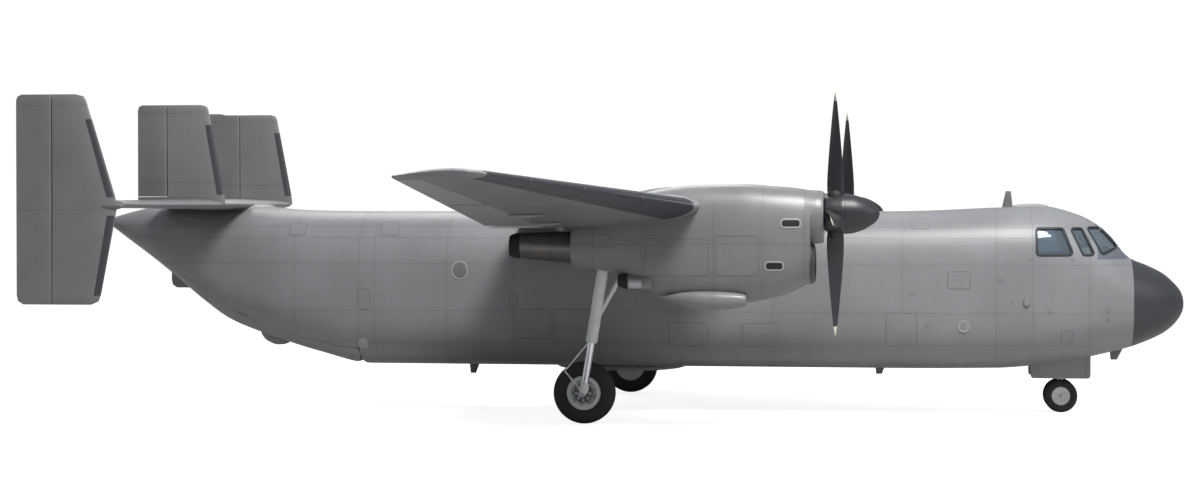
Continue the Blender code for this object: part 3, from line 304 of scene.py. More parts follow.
def slab(name, outline, y0, y1, look):
    """A side-view outline of (x, z) points drawn out from y0 to y1."""
    return loft(name, [[(x, y, z) for x, z in outline] for y in (y0, y1)], look)


def turned(name, axis, centre, profile, look, sides=48, hoop=False):
    """A solid of revolution. profile holds (along, radius); axis is a letter or a direction."""
    direction = AXES[axis] if isinstance(axis, str) else axis
    turn = Vector(direction).normalized().to_track_quat("Z", "Y").to_matrix()
    rings = []
    for along, radius in profile:
        spots = [(radius * math.cos(a), radius * math.sin(a), along) for a in turns(sides)]
        rings.append([Vector(centre) + turn @ Vector(spot) for spot in spots])
    if hoop:
        # Joined round the ring's own section, and so open along the axis
        return loft(name, rings + rings[:1], look, False)
    return loft(name, rings, look)


def rod(name, start, end, radius, look, sides=24):
    way = Vector(end) - Vector(start)
    return turned(name, tuple(way), start, ((0, radius), (way.length, radius)), look, sides)


def tube(name, path, radius, look, sides=10):
    """A bent pipe through points."""
    rings = []
    side = None
    for k, point in enumerate(path):
        ahead = (path[min(k + 1, len(path) - 1)] - path[max(k - 1, 0)]).normalized()
        side = side or ahead.orthogonal().normalized()
        side = (side - ahead * side.dot(ahead)).normalized()
        other = ahead.cross(side)
        arms = [side * radius * math.cos(a) + other * radius * math.sin(a) for a in turns(sides)]
        rings.append([point + arm for arm in arms])
    return loft(name, rings, look)


def curve_through(points, steps=5):
    """A smooth path through points."""
    points = [Vector(p) for p in points]
    ends = [points[0] * 2 - points[1]] + points + [points[-1] * 2 - points[-2]]
    path = []
    for k in range(1, len(ends) - 2):
        a, b, c, d = ends[k - 1 : k + 3]
        for t in (j / steps for j in range(steps)):
            square, cube = a * 2 - b * 5 + c * 4 - d, b * 3 - a - c * 3 + d
            path.append(((b * 2) + (c - a) * t + square * t * t + cube * t**3) / 2)
    return path + [points[-1]]


def boolean(target, tool, operation):
    modifier = target.modifiers.new("Boolean", "BOOLEAN")
    modifier.operation = operation
    modifier.solver = "EXACT"
    modifier.object = tool
    bpy.context.view_layer.update()
    mesh = bpy.data.meshes.new_from_object(target.evaluated_get(bpy.context.evaluated_depsgraph_get()))
    target.modifiers.clear()
    target.data = mesh
    bpy.data.objects.remove(tool, do_unlink=True)


def cut(target, *tools):
    for tool in tools:
        boolean(target, tool, "DIFFERENCE")


def keep(target, *tools):
    """Keeps what lies inside every tool."""
    for tool in tools:
        boolean(target, tool, "INTERSECT")


def joined(name, parts):
    """Several meshes as one piece, each keeping its own material."""
    verts, faces, looks, slots = [], [], [], []
    for part in parts:
        base = len(verts)
        verts += [tuple(v.co) for v in part.data.vertices]
        for face in part.data.polygons:
            look = part.data.materials[face.material_index]
            if look not in looks:
                looks.append(look)
            faces.append(tuple(base + v for v in face.vertices))
            slots.append(looks.index(look))
        bpy.data.objects.remove(part, do_unlink=True)
    mesh = bpy.data.meshes.new(name)
    mesh.from_pydata(verts, [], faces)
    for look in looks:
        mesh.materials.append(look)
    mesh.polygons.foreach_set("material_index", slots)
    return placed(name, mesh)


def second_look(piece, look, chosen):
    """Gives the faces that chosen picks another finish."""
    piece.data.materials.append(look)
    slot = len(piece.data.materials) - 1
    for face in piece.data.polygons:
        if chosen(face):
            face.material_index = slot


def finish_piece(piece, body="airframe", node=None, angle=32):
    """Smooth shading, the body that the piece rides on, and the CAD node that it stands for."""
    piece.data.shade_smooth()
    piece.data.set_sharp_from_angle(angle=math.radians(angle))
    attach(piece, body)
    if node:
        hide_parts(node)


def rounded(outline, radius, steps=5):
    """A polygon with its corners rounded."""
    points = [Vector(p) for p in outline]
    result = []
    for k, corner in enumerate(points):
        before = (points[k - 1] - corner).normalized()
        after = (points[(k + 1) % len(points)] - corner).normalized()
        turn = before.angle(after)
        back = radius / math.tan(turn / 2)
        centre = corner + (before + after).normalized() * (radius / math.sin(turn / 2))
        start, end = corner + before * back - centre, corner + after * back - centre
        sweep = math.pi - turn
        for t in (j / steps for j in range(steps + 1)):
            arm = (start * math.sin((1 - t) * sweep) + end * math.sin(t * sweep)) / math.sin(sweep)
            result.append(tuple(centre + arm))
    return result


# Finishes
GREY = (0.205, 0.209, 0.214)
WARM = (0.172, 0.174, 0.176)
FIN_GREY = (0.165, 0.165, 0.168)
FUSELAGE_SEAMS = {
    "X": (-5.10, -4.05, -3.81, -2.66, -1.61, -0.30, 0.95, 2.40, 4.35, 5.76, 6.30, 7.16),
    "Z": (EYE - 0.298, EYE - 0.471, EYE - 0.870, EYE - 1.60, EYE - 2.10),
}
WING_SEAMS = (-11.0, -9.4, -8.36, -7.0, -5.6, -3.1, 3.1, 5.6, 7.0, 8.36, 9.4, 11.0, 0.0, 1.35, -1.35)
UNDER_SEAMS = (-9.4, -8.36, -7.0, -5.6, 5.6, 7.0, 8.36, 9.4)
ALONG = (0.5, 6.0, 6.0)
ANTI_GLARE = ({"X": (7.28, 8.7), "Z": (EYE - 0.785, EYE)}, (0.10, 0.115, 0.14))
fuselage_look = service_grey("fuselage_grey", GREY, FUSELAGE_SEAMS, patch=ANTI_GLARE)
door_look = service_grey("door_grey", GREY, {"X": (-5.4, -6.1, -6.78, -7.4), "Y": (-0.6, 0.6)})
wing_look = service_grey("wing_grey", GREY, {"Y": WING_SEAMS}, streak=ALONG)
control_look = service_grey("control_grey", GREY, {}, streak=(0.6, 6.0, 6.0))
fin_look = service_grey("fin_grey", FIN_GREY, {"Z": (EYE - 0.04, EYE + 1.50)})
inner_fin_look = service_grey("inner_fin_grey", FIN_GREY, {"Z": (EYE + 0.378, EYE + 1.45)})
NACELLE_SEAMS = {"X": (0.0, 0.70, 1.71, 2.40, 2.99), "Z": (EYE - 0.52,)}
nacelle_look = service_grey("nacelle_grey", WARM, NACELLE_SEAMS, rough=0.34)
liner_look = plain("liner_green", (0.10, 0.13, 0.105), 0.7)
cockpit_look = plain("cockpit_black", (0.03, 0.032, 0.036), 0.7)
boot_look = plain("deicing_boot", (0.042, 0.044, 0.048), 0.42)
wing_boot_look = plain("wing_boot", (0.018, 0.020, 0.025), 0.55)
# The wing paint darkened to 0.58 for the underside: painted shade, as if the underside lay in shadow.
wing_underside_shade_look = service_grey("wing_underside_painted_shade", shaded(GREY, 0.58), {"Y": UNDER_SEAMS}, streak=ALONG)
radome_look = plain("radome_coating", (0.030, 0.032, 0.036), 0.42, grain=0.08, scale=5.0)
hatch_look = service_grey("hatch_grey", shaded(GREY, 0.96), {}, rivets=False)
seam_look = plain("seam_dark", shaded(GREY, 0.55), 0.5)
fitting_look = plain("fitting_grey", (0.13, 0.132, 0.136), 0.45)
light_grey_look = plain("light_grey", (0.30, 0.30, 0.305), 0.42)
seal_look = plain("rubber_seal", (0.012, 0.012, 0.013), 0.6)
tyre_look = plain("tyre_rubber", (0.018, 0.018, 0.019), 0.78)
gear_look = plain("gear_white", (0.60, 0.61, 0.60), 0.38, grain=0.08)
chrome_look = plain("piston_chrome", (0.72, 0.73, 0.75), 0.14, metal=1.0, grain=0.05)
steel_look = plain("bare_steel", (0.36, 0.36, 0.37), 0.34, metal=1.0)
dark_steel_look = plain("dark_steel", (0.10, 0.10, 0.105), 0.45, metal=0.7)
pipe_look = plain("heated_pipe", (0.20, 0.185, 0.17), 0.30, metal=0.9, grain=0.3, scale=7.0)
# Near-black finish: real soot in the exhaust pipe and on the outlet sleeve, and painted shade where black
# plates and discs fill the depth of the slots, the scoop and the intake.
soot_and_shade_look = plain("soot_and_painted_shade", (0.012, 0.012, 0.012), 0.85)
blade_look = plain("blade_black", (0.020, 0.021, 0.024), 0.40)
tip_look = plain("blade_tip", (0.62, 0.57, 0.44), 0.45)
red_lens_look = plain("lens_red", (0.45, 0.02, 0.02), 0.12)
green_lens_look = plain("lens_green", (0.02, 0.30, 0.09), 0.12)
fabric_look = plain("seat_fabric", (0.075, 0.085, 0.070), 0.9, grain=0.25, scale=60.0)
belt_look = plain("seat_belt", (0.16, 0.15, 0.11), 0.85, scale=90.0)
screen_look = plain("display_glass", (0.010, 0.016, 0.022), 0.08)
glazing = Paint("cockpit_glazing", (0.42, 0.52, 0.60), 0.02)
glazing.set("Transmission Weight", 0.86)
glazing.set("IOR", 1.35)
glass_look = glazing.material


# Fuselage stations: x, half width, top rel, bottom rel, squareness
FUSELAGE = (
    (8.660, 0.02, -1.470, -1.510, 2.0),
    (8.620, 0.17, -1.300, -1.660, 2.0),
    (8.500, 0.35, -1.150, -1.820, 2.1),
    (8.360, 0.48, -1.026, -1.932, 2.2),
    (8.100, 0.66, -0.890, -2.060, 2.3),
    (7.840, 0.80, -0.783, -2.157, 2.4),
    (7.742, 0.86, -0.692, -2.185, 2.4),
    (7.540, 0.96, -0.470, -2.235, 2.5),
    (7.372, 1.04, -0.287, -2.275, 2.6),
    (7.040, 1.15, -0.105, -2.343, 2.8),
    (6.480, 1.25, 0.023, -2.430, 3.0),
    (5.800, 1.29, 0.000, -2.485, 3.2),
    (4.200, 1.30, -0.057, -2.500, 3.3),
    (-4.050, 1.30, -0.057, -2.490, 3.3),
    (-4.870, 1.27, -0.050, -2.312, 3.2),
    (-5.380, 1.22, -0.030, -2.167, 3.1),
    (-6.010, 1.12, 0.030, -1.957, 3.0),
    (-6.360, 1.05, 0.045, -1.813, 2.9),
    (-6.780, 0.96, 0.050, -1.526, 2.8),
    (-7.270, 0.84, 0.045, -1.134, 2.7),
    (-7.660, 0.73, 0.020, -0.835, 2.6),
    (-8.050, 0.60, -0.060, -0.555, 2.5),
    (-8.300, 0.48, -0.130, -0.370, 2.5),
)
NOSE_X = FUSELAGE[0][0]
RADOME_X = 7.84
CABIN_X = 4.20
TAIL_X = -4.05
TAIL_END_X = -8.30
CABIN_FLOOR = 1.04
COCKPIT_FLOOR = 1.40
fuselage_at = smooth_rule(FUSELAGE, lambda x: -math.sqrt(max(NOSE_X - x, 0.0)))


def fuselage_ring(x, shrink=0.0, floor=0.0, count=112):
    half, top, bottom, power = fuselage_at(x)
    ring = squared_oval(x, 0.0, max(half - shrink, 0.01), top - shrink, bottom + shrink, power, count)
    return [(px, py, max(pz, floor)) for px, py, pz in ring]


def fuselage_loft(name, front, rear, look, shrink=0.0, step=0.10, count=112):
    return loft(name, [fuselage_ring(x, shrink, 0.0, count) for x in spaced(front, rear, step)], look)


def skin_frame(x, z, side, rule=fuselage_at, centre=0.0):
    """A point on the side skin and its outward direction."""
    def spot(at, height):
        half, top, bottom, power = rule(at)
        rise = min(abs(height - EYE - (top + bottom) / 2) / ((top - bottom) / 2), 1.0)
        return Vector((at, centre + side * half * (1 - rise**power) ** (1 / power), height))

    here = spot(x, z)
    out = (spot(x + 0.01, z) - here).cross(spot(x, z + 0.01) - here).normalized()
    return here, -out if out.y * side < 0 else out


def resampled(outline, step=0.03):
    """The same closed outline with points no further apart than step."""
    result = []
    for k, start in enumerate(outline):
        end = outline[(k + 1) % len(outline)]
        count = max(1, int(math.dist(start, end) / step))
        result += [between(start, end, j / count) for j in range(count)]
    return result


def between(a, b, t):
    return tuple(p + (q - p) * t for p, q in zip(a, b))


def outline_on(x, rel, long, tall, corner):
    """A rounded rectangle round x and rel."""
    half, rise = long / 2, tall / 2
    corners = [(-half, -rise), (half, -rise), (half, rise), (-half, rise)]
    shape = rounded(corners, min(corner, half * 0.98, rise * 0.98))
    return [(x + u, rel + w) for u, w in resampled(shape, 0.05)]


def plate(name, place, side, look, lift, rule=fuselage_at, centre=0.0):
    """A thin plate that follows the side skin. place holds x, rel, length, height and corner radius."""
    x, rel = place[:2]
    rings = []
    for share, height in ((1.0, -0.004), (1.0, lift * 0.6), *((s, lift) for s in (0.975, 0.6, 0.25, 0.02))):
        ring = []
        for px, prel in outline_on(*place):
            spot = (x + (px - x) * share, EYE + rel + (prel - rel) * share)
            here, out = skin_frame(*spot, side, rule, centre)
            ring.append(here + out * height)
        rings.append(ring)
    return loft(name, rings, look)


def rim_on(name, place, side, look, width, lift, rule=fuselage_at, centre=0.0):
    """A thin raised edge round a plate or a hatch."""
    path = [skin_frame(x, EYE + rel, side, rule, centre) for x, rel in outline_on(*place)]
    return band(name, path, width, lift, look, 0.004)


def boss(name, x, rel, side, profile, look):
    """A turned fitting that stands out of the side skin."""
    here, out = skin_frame(x, EYE + rel, side)
    return turned(name, tuple(out), here, profile, look, 32)


def band(name, path, width, lift, look, sink=0.01):
    """A raised closed strip. path holds (point, outward) pairs; width runs to both sides of it."""
    rings = []
    count = len(path)
    section = ((-1, -sink), (-1, lift * 0.7), (-0.6, lift), (0.6, lift), (1, lift * 0.7), (1, -sink))
    for k, (point, out) in enumerate(path):
        along = (path[(k + 1) % count][0] - path[k - 1][0]).normalized()
        side = along.cross(out).normalized() * width / 2
        rings += [point + side * across + out * rise for across, rise in section]
    n = len(section)
    faces = []
    for a in range(0, n * count, n):
        b = (a + n) % (n * count)
        faces += [(a + j, a + (j + 1) % n, b + (j + 1) % n, b + j) for j in range(n)]
    return obj(name, rings, faces, look)


def pod(name, y, rows, look, power=2.2, count=48, step=0.03):
    """A rounded body along the plane. rows holds x, half width, top rel and bottom rel."""
    rule = smooth_rule(rows)
    spots = spaced(rows[0][0], rows[-1][0], step)
    return loft(name, [squared_oval(x, y, *rule(x), power, count) for x in spots], look)


# Antenna sections: share of the height, share of the thickness, share of the length
ANTENNA_STEPS = ((0.0, 1.0, 1.0), (0.5, 1.0, 1.0), (0.9, 0.9, 1.0), (0.97, 0.7, 1.0), (1.0, 0.4, 0.94))
ANTENNA_HALF = 0.012


def blade_antenna(row):
    """An upright blade of lens section. row holds foot and tip x, front and rear, then foot and tip rel."""
    rings = []
    for t, size, length in ANTENNA_STEPS:
        front, rear = between(row[:2], row[2:4], t)
        middle, half = (front + rear) / 2, (front - rear) / 2 * length
        z = EYE + row[4] + (row[5] - row[4]) * t
        ring = []
        for a in turns(24):
            bulge = math.copysign(abs(math.sin(a)) ** 1.3, math.sin(a))
            ring.append((middle + half * math.cos(a), ANTENNA_HALF * size * bulge, z))
        rings.append(ring)
    return loft("antenna", rings, fitting_look)


ROOF_BUMP = (
    (6.70, 0.05, -0.080, -0.12),
    (6.58, 0.16, 0.038, -0.12),
    (6.42, 0.20, 0.060, -0.12),
    (6.20, 0.20, 0.052, -0.12),
    (6.08, 0.15, 0.040, -0.12),
    (6.00, 0.05, -0.020, -0.12),
)
COCKPIT_ANTENNAS = ((6.064, 5.885, 6.030, 5.950, -0.03, 0.257), (7.76, 7.54, 7.66, 7.56, -2.16, -2.36))
BELLY_ANTENNAS = ((4.10, 3.93, 4.04, 3.95, -2.46, -2.613), (-2.36, -2.54, -2.43, -2.52, -2.46, -2.656))

# Cockpit panes: outline in x and rel, the y that the hole starts from, corner radius
PANES = (
    (((6.36, -0.313), (6.76, -0.313), (6.915, -0.721), (6.36, -0.721)), 0.6, 0.05),
    (((6.87, -0.313), (7.05, -0.313), (7.24, -0.721), (7.06, -0.721)), 0.6, 0.04),
    (((7.13, -0.300), (7.33, -0.300), (7.62, -0.598), (7.35, -0.712)), 0.36, 0.035),
)
WINDSHIELD = rounded([(-0.30, -0.37), (0.30, -0.37), (0.30, -0.63), (-0.30, -0.63)], 0.04)
WINDSHIELD_OUT = Vector((0.75, 0.0, 0.66))
SEAL = (0.034, 0.006)
NOSE_BAY = ((6.30, -0.30, 0.40), (7.25, 0.30, 1.15))
CREW_DOOR = dict(front=5.45, rear=4.75, foot=1.10, head=2.60)
LINER_DEPTH = 0.06


def front_skin(y, z):
    """The point of the nose skin ahead of y and z."""
    low, high = 7.0, RADOME_X
    for _ in range(30):
        middle = (low + high) / 2
        if depth_share((middle, y, z), 0.0) < 1:
            low = middle
        else:
            high = middle
    return Vector((low, y, z))


def depth_share(spot, depth):
    """Below 1 where the spot lies deeper than depth inside the skin."""
    half, top, bottom, power = fuselage_at(spot[0])
    tall = (top - bottom) / 2 - depth
    return abs(spot[1] / (half - depth)) ** power + abs((spot[2] - EYE - (top + bottom) / 2) / tall) ** power


def crew_block(name, grow):
    head, foot = CREW_DOOR["head"] + grow, CREW_DOOR["foot"]
    outline = [(0.85, foot), (1.60, foot), (1.60, head + 0.09), (1.30, head), (0.85, head - 0.135)]
    ends = (CREW_DOOR["rear"] - grow, CREW_DOOR["front"] + grow)
    return loft(name, [[(x, y, z) for y, z in outline] for x in ends], fuselage_look)


def line_inside(piece, look, depth=LINER_DEPTH):
    """Gives every face that lies deeper than depth its own finish, except at the end of the tail."""
    def deep(face):
        return face.center.x >= -8.2 and depth_share(face.center, depth) < 1.0

    second_look(piece, look, deep)


def make_fuselage():
    cockpit = fuselage_loft("cockpit_skin", RADOME_X, CABIN_X, fuselage_look, step=0.07)
    stations = (7.5, 7.37, 7.2, 7.04, 6.75, 6.48, 6.1, 5.8, 5.602)
    cavity = [fuselage_ring(x, 0.08, COCKPIT_FLOOR, 64) for x in stations]
    cavity += [fuselage_ring(x, 0.08, CABIN_FLOOR, 64) for x in (5.6, 5.0, 4.1)]
    cut(cockpit, loft("cavity", cavity, fuselage_look))
    seals = []
    for outline, start, radius in PANES:
        pane = rounded(outline, radius)
        for side in (1, -1):
            ends = sorted((side * start, side * 1.6))
            cut(cockpit, slab("pane", [(x, EYE + rel) for x, rel in pane], *ends, fuselage_look))
            path = [skin_frame(x, EYE + rel, side) for x, rel in resampled(pane)]
            seals.append(band("seal", path, *SEAL, seal_look))
    middle = [[(x, y, EYE + rel) for y, rel in WINDSHIELD] for x in (7.25, 7.95)]
    cut(cockpit, loft("middle", middle, fuselage_look), box("bay", *NOSE_BAY, fuselage_look))
    cut(cockpit, crew_block("doorway", GAP))
    line_inside(cockpit, cockpit_look)
    parts = [cockpit, pod("bump", 0.0, ROOF_BUMP, light_grey_look)]
    cockpit = joined("cockpit_skin", parts + [blade_antenna(row) for row in COCKPIT_ANTENNAS])
    finish_piece(cockpit, "airframe", "cockpit_section")

    door = fuselage_loft("crew_door_skin", 5.6, 4.6, fuselage_look, step=0.07)
    cut(door, fuselage_loft("inside", 5.7, 4.5, fuselage_look, 0.08))
    keep(door, crew_block("block", 0.0))
    line_inside(door, liner_look)
    finish_piece(door, "crew_door", "crew_door")

    cabin = fuselage_loft("cabin_skin", CABIN_X - TIGHT, TAIL_X, fuselage_look, step=0.25)
    rings = []
    for x in (4.3, -4.15):
        ring = squared_oval(x, 0.0, 1.12, -0.45, -2.15, 7.0, 64)
        rings.append([(px, py, max(pz, CABIN_FLOOR)) for px, py, pz in ring])
    cut(cabin, loft("hold", rings, fuselage_look), wing_centre_solid("wing_seat", TIGHT))
    line_inside(cabin, liner_look, 0.10)
    cabin = joined("cabin_skin", [cabin] + [blade_antenna(row) for row in BELLY_ANTENNAS])
    finish_piece(cabin, "airframe", "cabin_section")

    rings = [fuselage_ring(NOSE_X - (NOSE_X - RADOME_X) * t * t) for t in spaced(0.0, 1.0, 0.045)]
    finish_piece(loft("radome_skin", rings, radome_look), "airframe", "radome")

    shell = fuselage_loft("cockpit_glass", 7.74, 6.25, glass_look, 0.018, 0.06, 144)
    cut(shell, fuselage_loft("inner", 7.71, 6.1, glass_look, 0.030, 0.06, 144))
    keep(shell, box("band", (6.2, -1.5, EYE - 0.78), (7.73, 1.5, EYE - 0.27), glass_look))
    finish_piece(shell, "airframe", "windshield")

    path = [(front_skin(y, EYE + rel), WINDSHIELD_OUT) for y, rel in resampled(WINDSHIELD)]
    seals.append(band("middle", path, *SEAL, seal_look))
    finish_piece(joined("window_seals", seals))


# Hatches: x, rel, length, height, corner radius
HATCHES = (
    (4.34, -1.85, 0.46, 0.50, 0.02),
    (-1.32, -1.80, 0.58, 0.45, 0.02),
    (-0.66, -1.82, 0.66, 0.50, 0.02),
    (-5.08, -0.34, 0.26, 0.19, 0.03),
    (-3.60, -0.335, 0.28, 0.21, 0.03),
    (4.62, -0.242, 0.25, 0.155, 0.03),
    (-3.97, -1.43, 0.19, 0.32, 0.03),
    (6.816, -1.972, 0.17, 0.21, 0.03),
    (-1.61, -1.45, 0.12, 0.18, 0.02),
    (5.20, -1.10, 0.34, 0.26, 0.04),
    (2.20, -1.95, 0.55, 0.36, 0.03),
    (1.10, -1.95, 0.60, 0.36, 0.03),
)
PORT = (5.275, -1.794)
# Round fittings: x, rel, radius, height above the skin
ROUND_FITTINGS = (
    (*PORT, 0.055, 0.006),
    (6.211, -1.435, 0.050, 0.030),
    (6.00, -1.44, 0.012, 0.004),
    (5.83, -1.09, 0.035, 0.004),
    (4.498, -1.308, 0.030, 0.004),
    (4.723, -1.775, 0.026, 0.004),
    (7.16, -1.255, 0.030, 0.004),
    (7.434, -1.560, 0.026, 0.004),
    (7.434, -1.698, 0.026, 0.004),
    (6.56, -1.56, 0.030, 0.004),
    (7.48, -0.735, 0.016, 0.005),
    (7.53, -0.735, 0.016, 0.005),
    (6.27, -0.775, 0.016, 0.005),
    (6.90, -0.775, 0.016, 0.005),
    (-0.60, -1.809, 0.030, 0.004),
    (-1.301, -1.32, 0.040, 0.005),
    (-2.66, -1.66, 0.022, 0.004),
    (4.348, -2.05, 0.026, 0.004),
    (3.70, -2.04, 0.022, 0.004),
    (0.90, -1.62, 0.022, 0.004),
)
PORT_RING = ((-0.01, 0.093), (0.006, 0.092), (0.009, 0.086), (0.006, 0.080), (0.002, 0.079))
PLUG_WINDOW = (-2.452, -0.973, 0.235, 0.27, 0.115)
LIGHT_PLATE = (-4.013, -2.127, 0.14, 0.15, 0.03)
WIPER = ((7.36, -0.335), (7.50, -0.47), (7.60, -0.60))
WIPER_BASE = ((-0.01, 0.028), (0.024, 0.026), (0.030, 0.018))


def clear_of_crew_door(x, rel, side):
    return side < 0 or not CREW_DOOR["rear"] - 0.45 < x < CREW_DOOR["front"] + 0.25 or rel >= -0.40


def make_fittings():
    parts = []
    for side, _ in SIDES:
        for place in HATCHES:
            if clear_of_crew_door(*place[:2], side):
                parts.append(plate("hatch", place, side, hatch_look, 0.0015))
                parts.append(rim_on("edge", place, side, seam_look, 0.010, 0.0022))
        for x, rel, radius, height in ROUND_FITTINGS:
            if clear_of_crew_door(x, rel, side):
                pad = ((-0.01, radius), (height * 0.8, radius))
                pad += ((height, radius * 0.85), (height, radius * 0.5))
                parts.append(boss("pad", x, rel, side, pad, hatch_look))
                ring = ((-0.01, radius + 0.006), (0.0015, radius + 0.006), (0.0016, radius))
                parts.append(boss("ring", x, rel, side, ring, seam_look))
        if clear_of_crew_door(*PORT, side):
            parts.append(boss("port", *PORT, side, PORT_RING, light_grey_look))
        parts.append(plate("plug", PLUG_WINDOW, side, fitting_look, 0.004))
        parts.append(rim_on("plug_edge", PLUG_WINDOW, side, light_grey_look, 0.022, 0.007))
        parts.append(plate("light_plate", LIGHT_PLATE, side, light_grey_look, 0.005))
        spots = [skin_frame(x, EYE + rel, side) for x, rel in WIPER]
        path = curve_through([here + out * 0.022 for here, out in spots])
        parts.append(tube("wiper", path, 0.009, seal_look))
        here, out = spots[0]
        parts.append(turned("wiper_base", tuple(out), here, WIPER_BASE, fitting_look, 20))
    finish_piece(joined("hull_fittings", parts))

    fairing = belly_pod("belly_fairing_skin", BELLY_FAIRING, 0.05, (2.6, 72), fuselage_look)
    cut(fairing, fuselage_loft("belly_seat", 2.0, -2.0, fuselage_look, -TIGHT, 0.5))
    finish_piece(fairing, "airframe", "belly_fairing")


# Pods below the belly: x, half width, how far it drops below the skin
BELLY_FAIRING = (
    (1.01, 0.10, 0.0),
    (0.80, 0.34, 0.055),
    (0.30, 0.46, 0.090),
    (-0.60, 0.46, 0.090),
    (-1.00, 0.32, 0.050),
    (-1.13, 0.10, 0.0),
)
TAIL_BUMPER = (
    (-5.46, 0.03, 0.0),
    (-5.52, 0.085, 0.075),
    (-5.62, 0.12, 0.135),
    (-5.75, 0.135, 0.17),
    (-5.86, 0.12, 0.158),
    (-5.95, 0.075, 0.095),
    (-5.99, 0.03, 0.02),
)


def belly_rel(x):
    for low, high in zip(FUSELAGE, FUSELAGE[1:]):
        if high[0] <= x <= low[0]:
            return low[3] + (high[3] - low[3]) * (x - low[0]) / (high[0] - low[0])
    return FUSELAGE[-1][3]


def belly_z(x):
    return EYE + belly_rel(x)


def belly_pod(name, rows, step, shape, look):
    """A pod that hangs below the belly's skin. shape holds squareness and points a ring."""
    rule = smooth_rule(rows)
    rings = []
    for x in spaced(rows[0][0], rows[-1][0], step):
        half, drop = rule(x)
        rings.append(squared_oval(x, 0.0, half, belly_rel(x) + 0.05, belly_rel(x) - drop, *shape))
    return loft(name, rings, look)


def tapered(name, outline, ends, inset=0.0):
    """An outline in x and z between sides that close in. ends holds front x, rear x and both half widths."""
    front, rear, wide, narrow = ends

    def half(x):
        return wide + (narrow - wide) * (x - front) / (rear - front) - inset

    return loft(name, [[(x, side * half(x), z) for x, z in outline] for side in (-1, 1)], door_look)


# The cargo ramp and the door behind it part at SPLIT_X, on a slant of 35 degrees
SPLIT_X = -6.783
DOOR_END_X = -7.95
RAMP_ENDS = (-4.10, SPLIT_X, 1.10, 0.86)
DOORWAY_ENDS = (-4.10, SPLIT_X, 1.112, 0.86)
DOOR_ENDS = (SPLIT_X, DOOR_END_X, 0.86, 0.50)
HINGE_X = -4.27
HINGE_Z = belly_z(HINGE_X) + 0.165
HINGE_RADIUS = 0.17
TRAY_DEPTH = 0.34
TRAY_SKIN = 0.05
TRAY_RIM = 0.09
SLANT = math.tan(math.radians(35))
BELLY_SLOPE = (belly_z(SPLIT_X) - belly_z(-6.36)) / 0.423
SPLIT_RUN = TRAY_DEPTH / (SLANT + BELLY_SLOPE)
SPLIT_RISE = SPLIT_RUN * SLANT
DOOR_HINGE_Z = belly_z(DOOR_END_X) + 0.10
BELOW = 0.30


def on_belly(rows):
    """(x, z) points, each given as x and its height above the belly."""
    return [(x, belly_z(x) + rise) for x, rise in rows]


def ramp_outline():
    points = []
    for k in range(17):
        a = math.radians(90 - 180 * k / 16)
        points.append((HINGE_X + HINGE_RADIUS * math.cos(a), HINGE_Z + HINGE_RADIUS * math.sin(a)))
    points += [(HINGE_X - 0.25, BELOW), (SPLIT_X, BELOW), (SPLIT_X, belly_z(SPLIT_X))]
    points += [(SPLIT_X + SPLIT_RUN, belly_z(SPLIT_X) + SPLIT_RISE)]
    return points + on_belly((x, TRAY_DEPTH) for x in (-6.36, -6.01, -5.38, -4.87))


def door_outline():
    front = SPLIT_X - 0.0084
    return [
        (DOOR_END_X, BELOW),
        (DOOR_END_X, DOOR_HINGE_Z),
        (-7.83, DOOR_HINGE_Z + 0.10),
        (-7.27, belly_z(-7.27) + 0.30),
        (front + SPLIT_RUN, belly_z(SPLIT_X) + SPLIT_RISE),
        (front, belly_z(SPLIT_X)),
        (front, BELOW),
    ]


# Fairing on the tail's roof that carries the tailplane
TAILPLANE_ROOT = (
    (-5.72, 0.20, -0.030, -0.15),
    (-5.85, 0.50, 0.045, -0.15),
    (-6.10, 0.66, 0.082, -0.15),
    (-6.60, 0.66, 0.070, -0.15),
    (-7.10, 0.55, 0.035, -0.15),
    (-7.36, 0.40, 0.000, -0.12),
)
TAIL_BULLET = (
    (-7.01, 0.010, 0.032, 0.012),
    (-7.06, 0.038, 0.058, -0.014),
    (-7.16, 0.062, 0.080, -0.036),
    (-7.28, 0.070, 0.086, -0.042),
    (-7.46, 0.055, 0.070, -0.028),
    (-7.62, 0.020, 0.040, 0.005),
)


def hollow_tray(tray, outline, ends):
    """Hollows a tray from above and leaves a skin along its curved sides."""
    room = tapered("hollow", outline, ends, TRAY_RIM)
    keep(room, fuselage_loft("skin_line", -3.9, -8.2, door_look, TRAY_SKIN))
    cut(tray, room)
    line_inside(tray, liner_look)


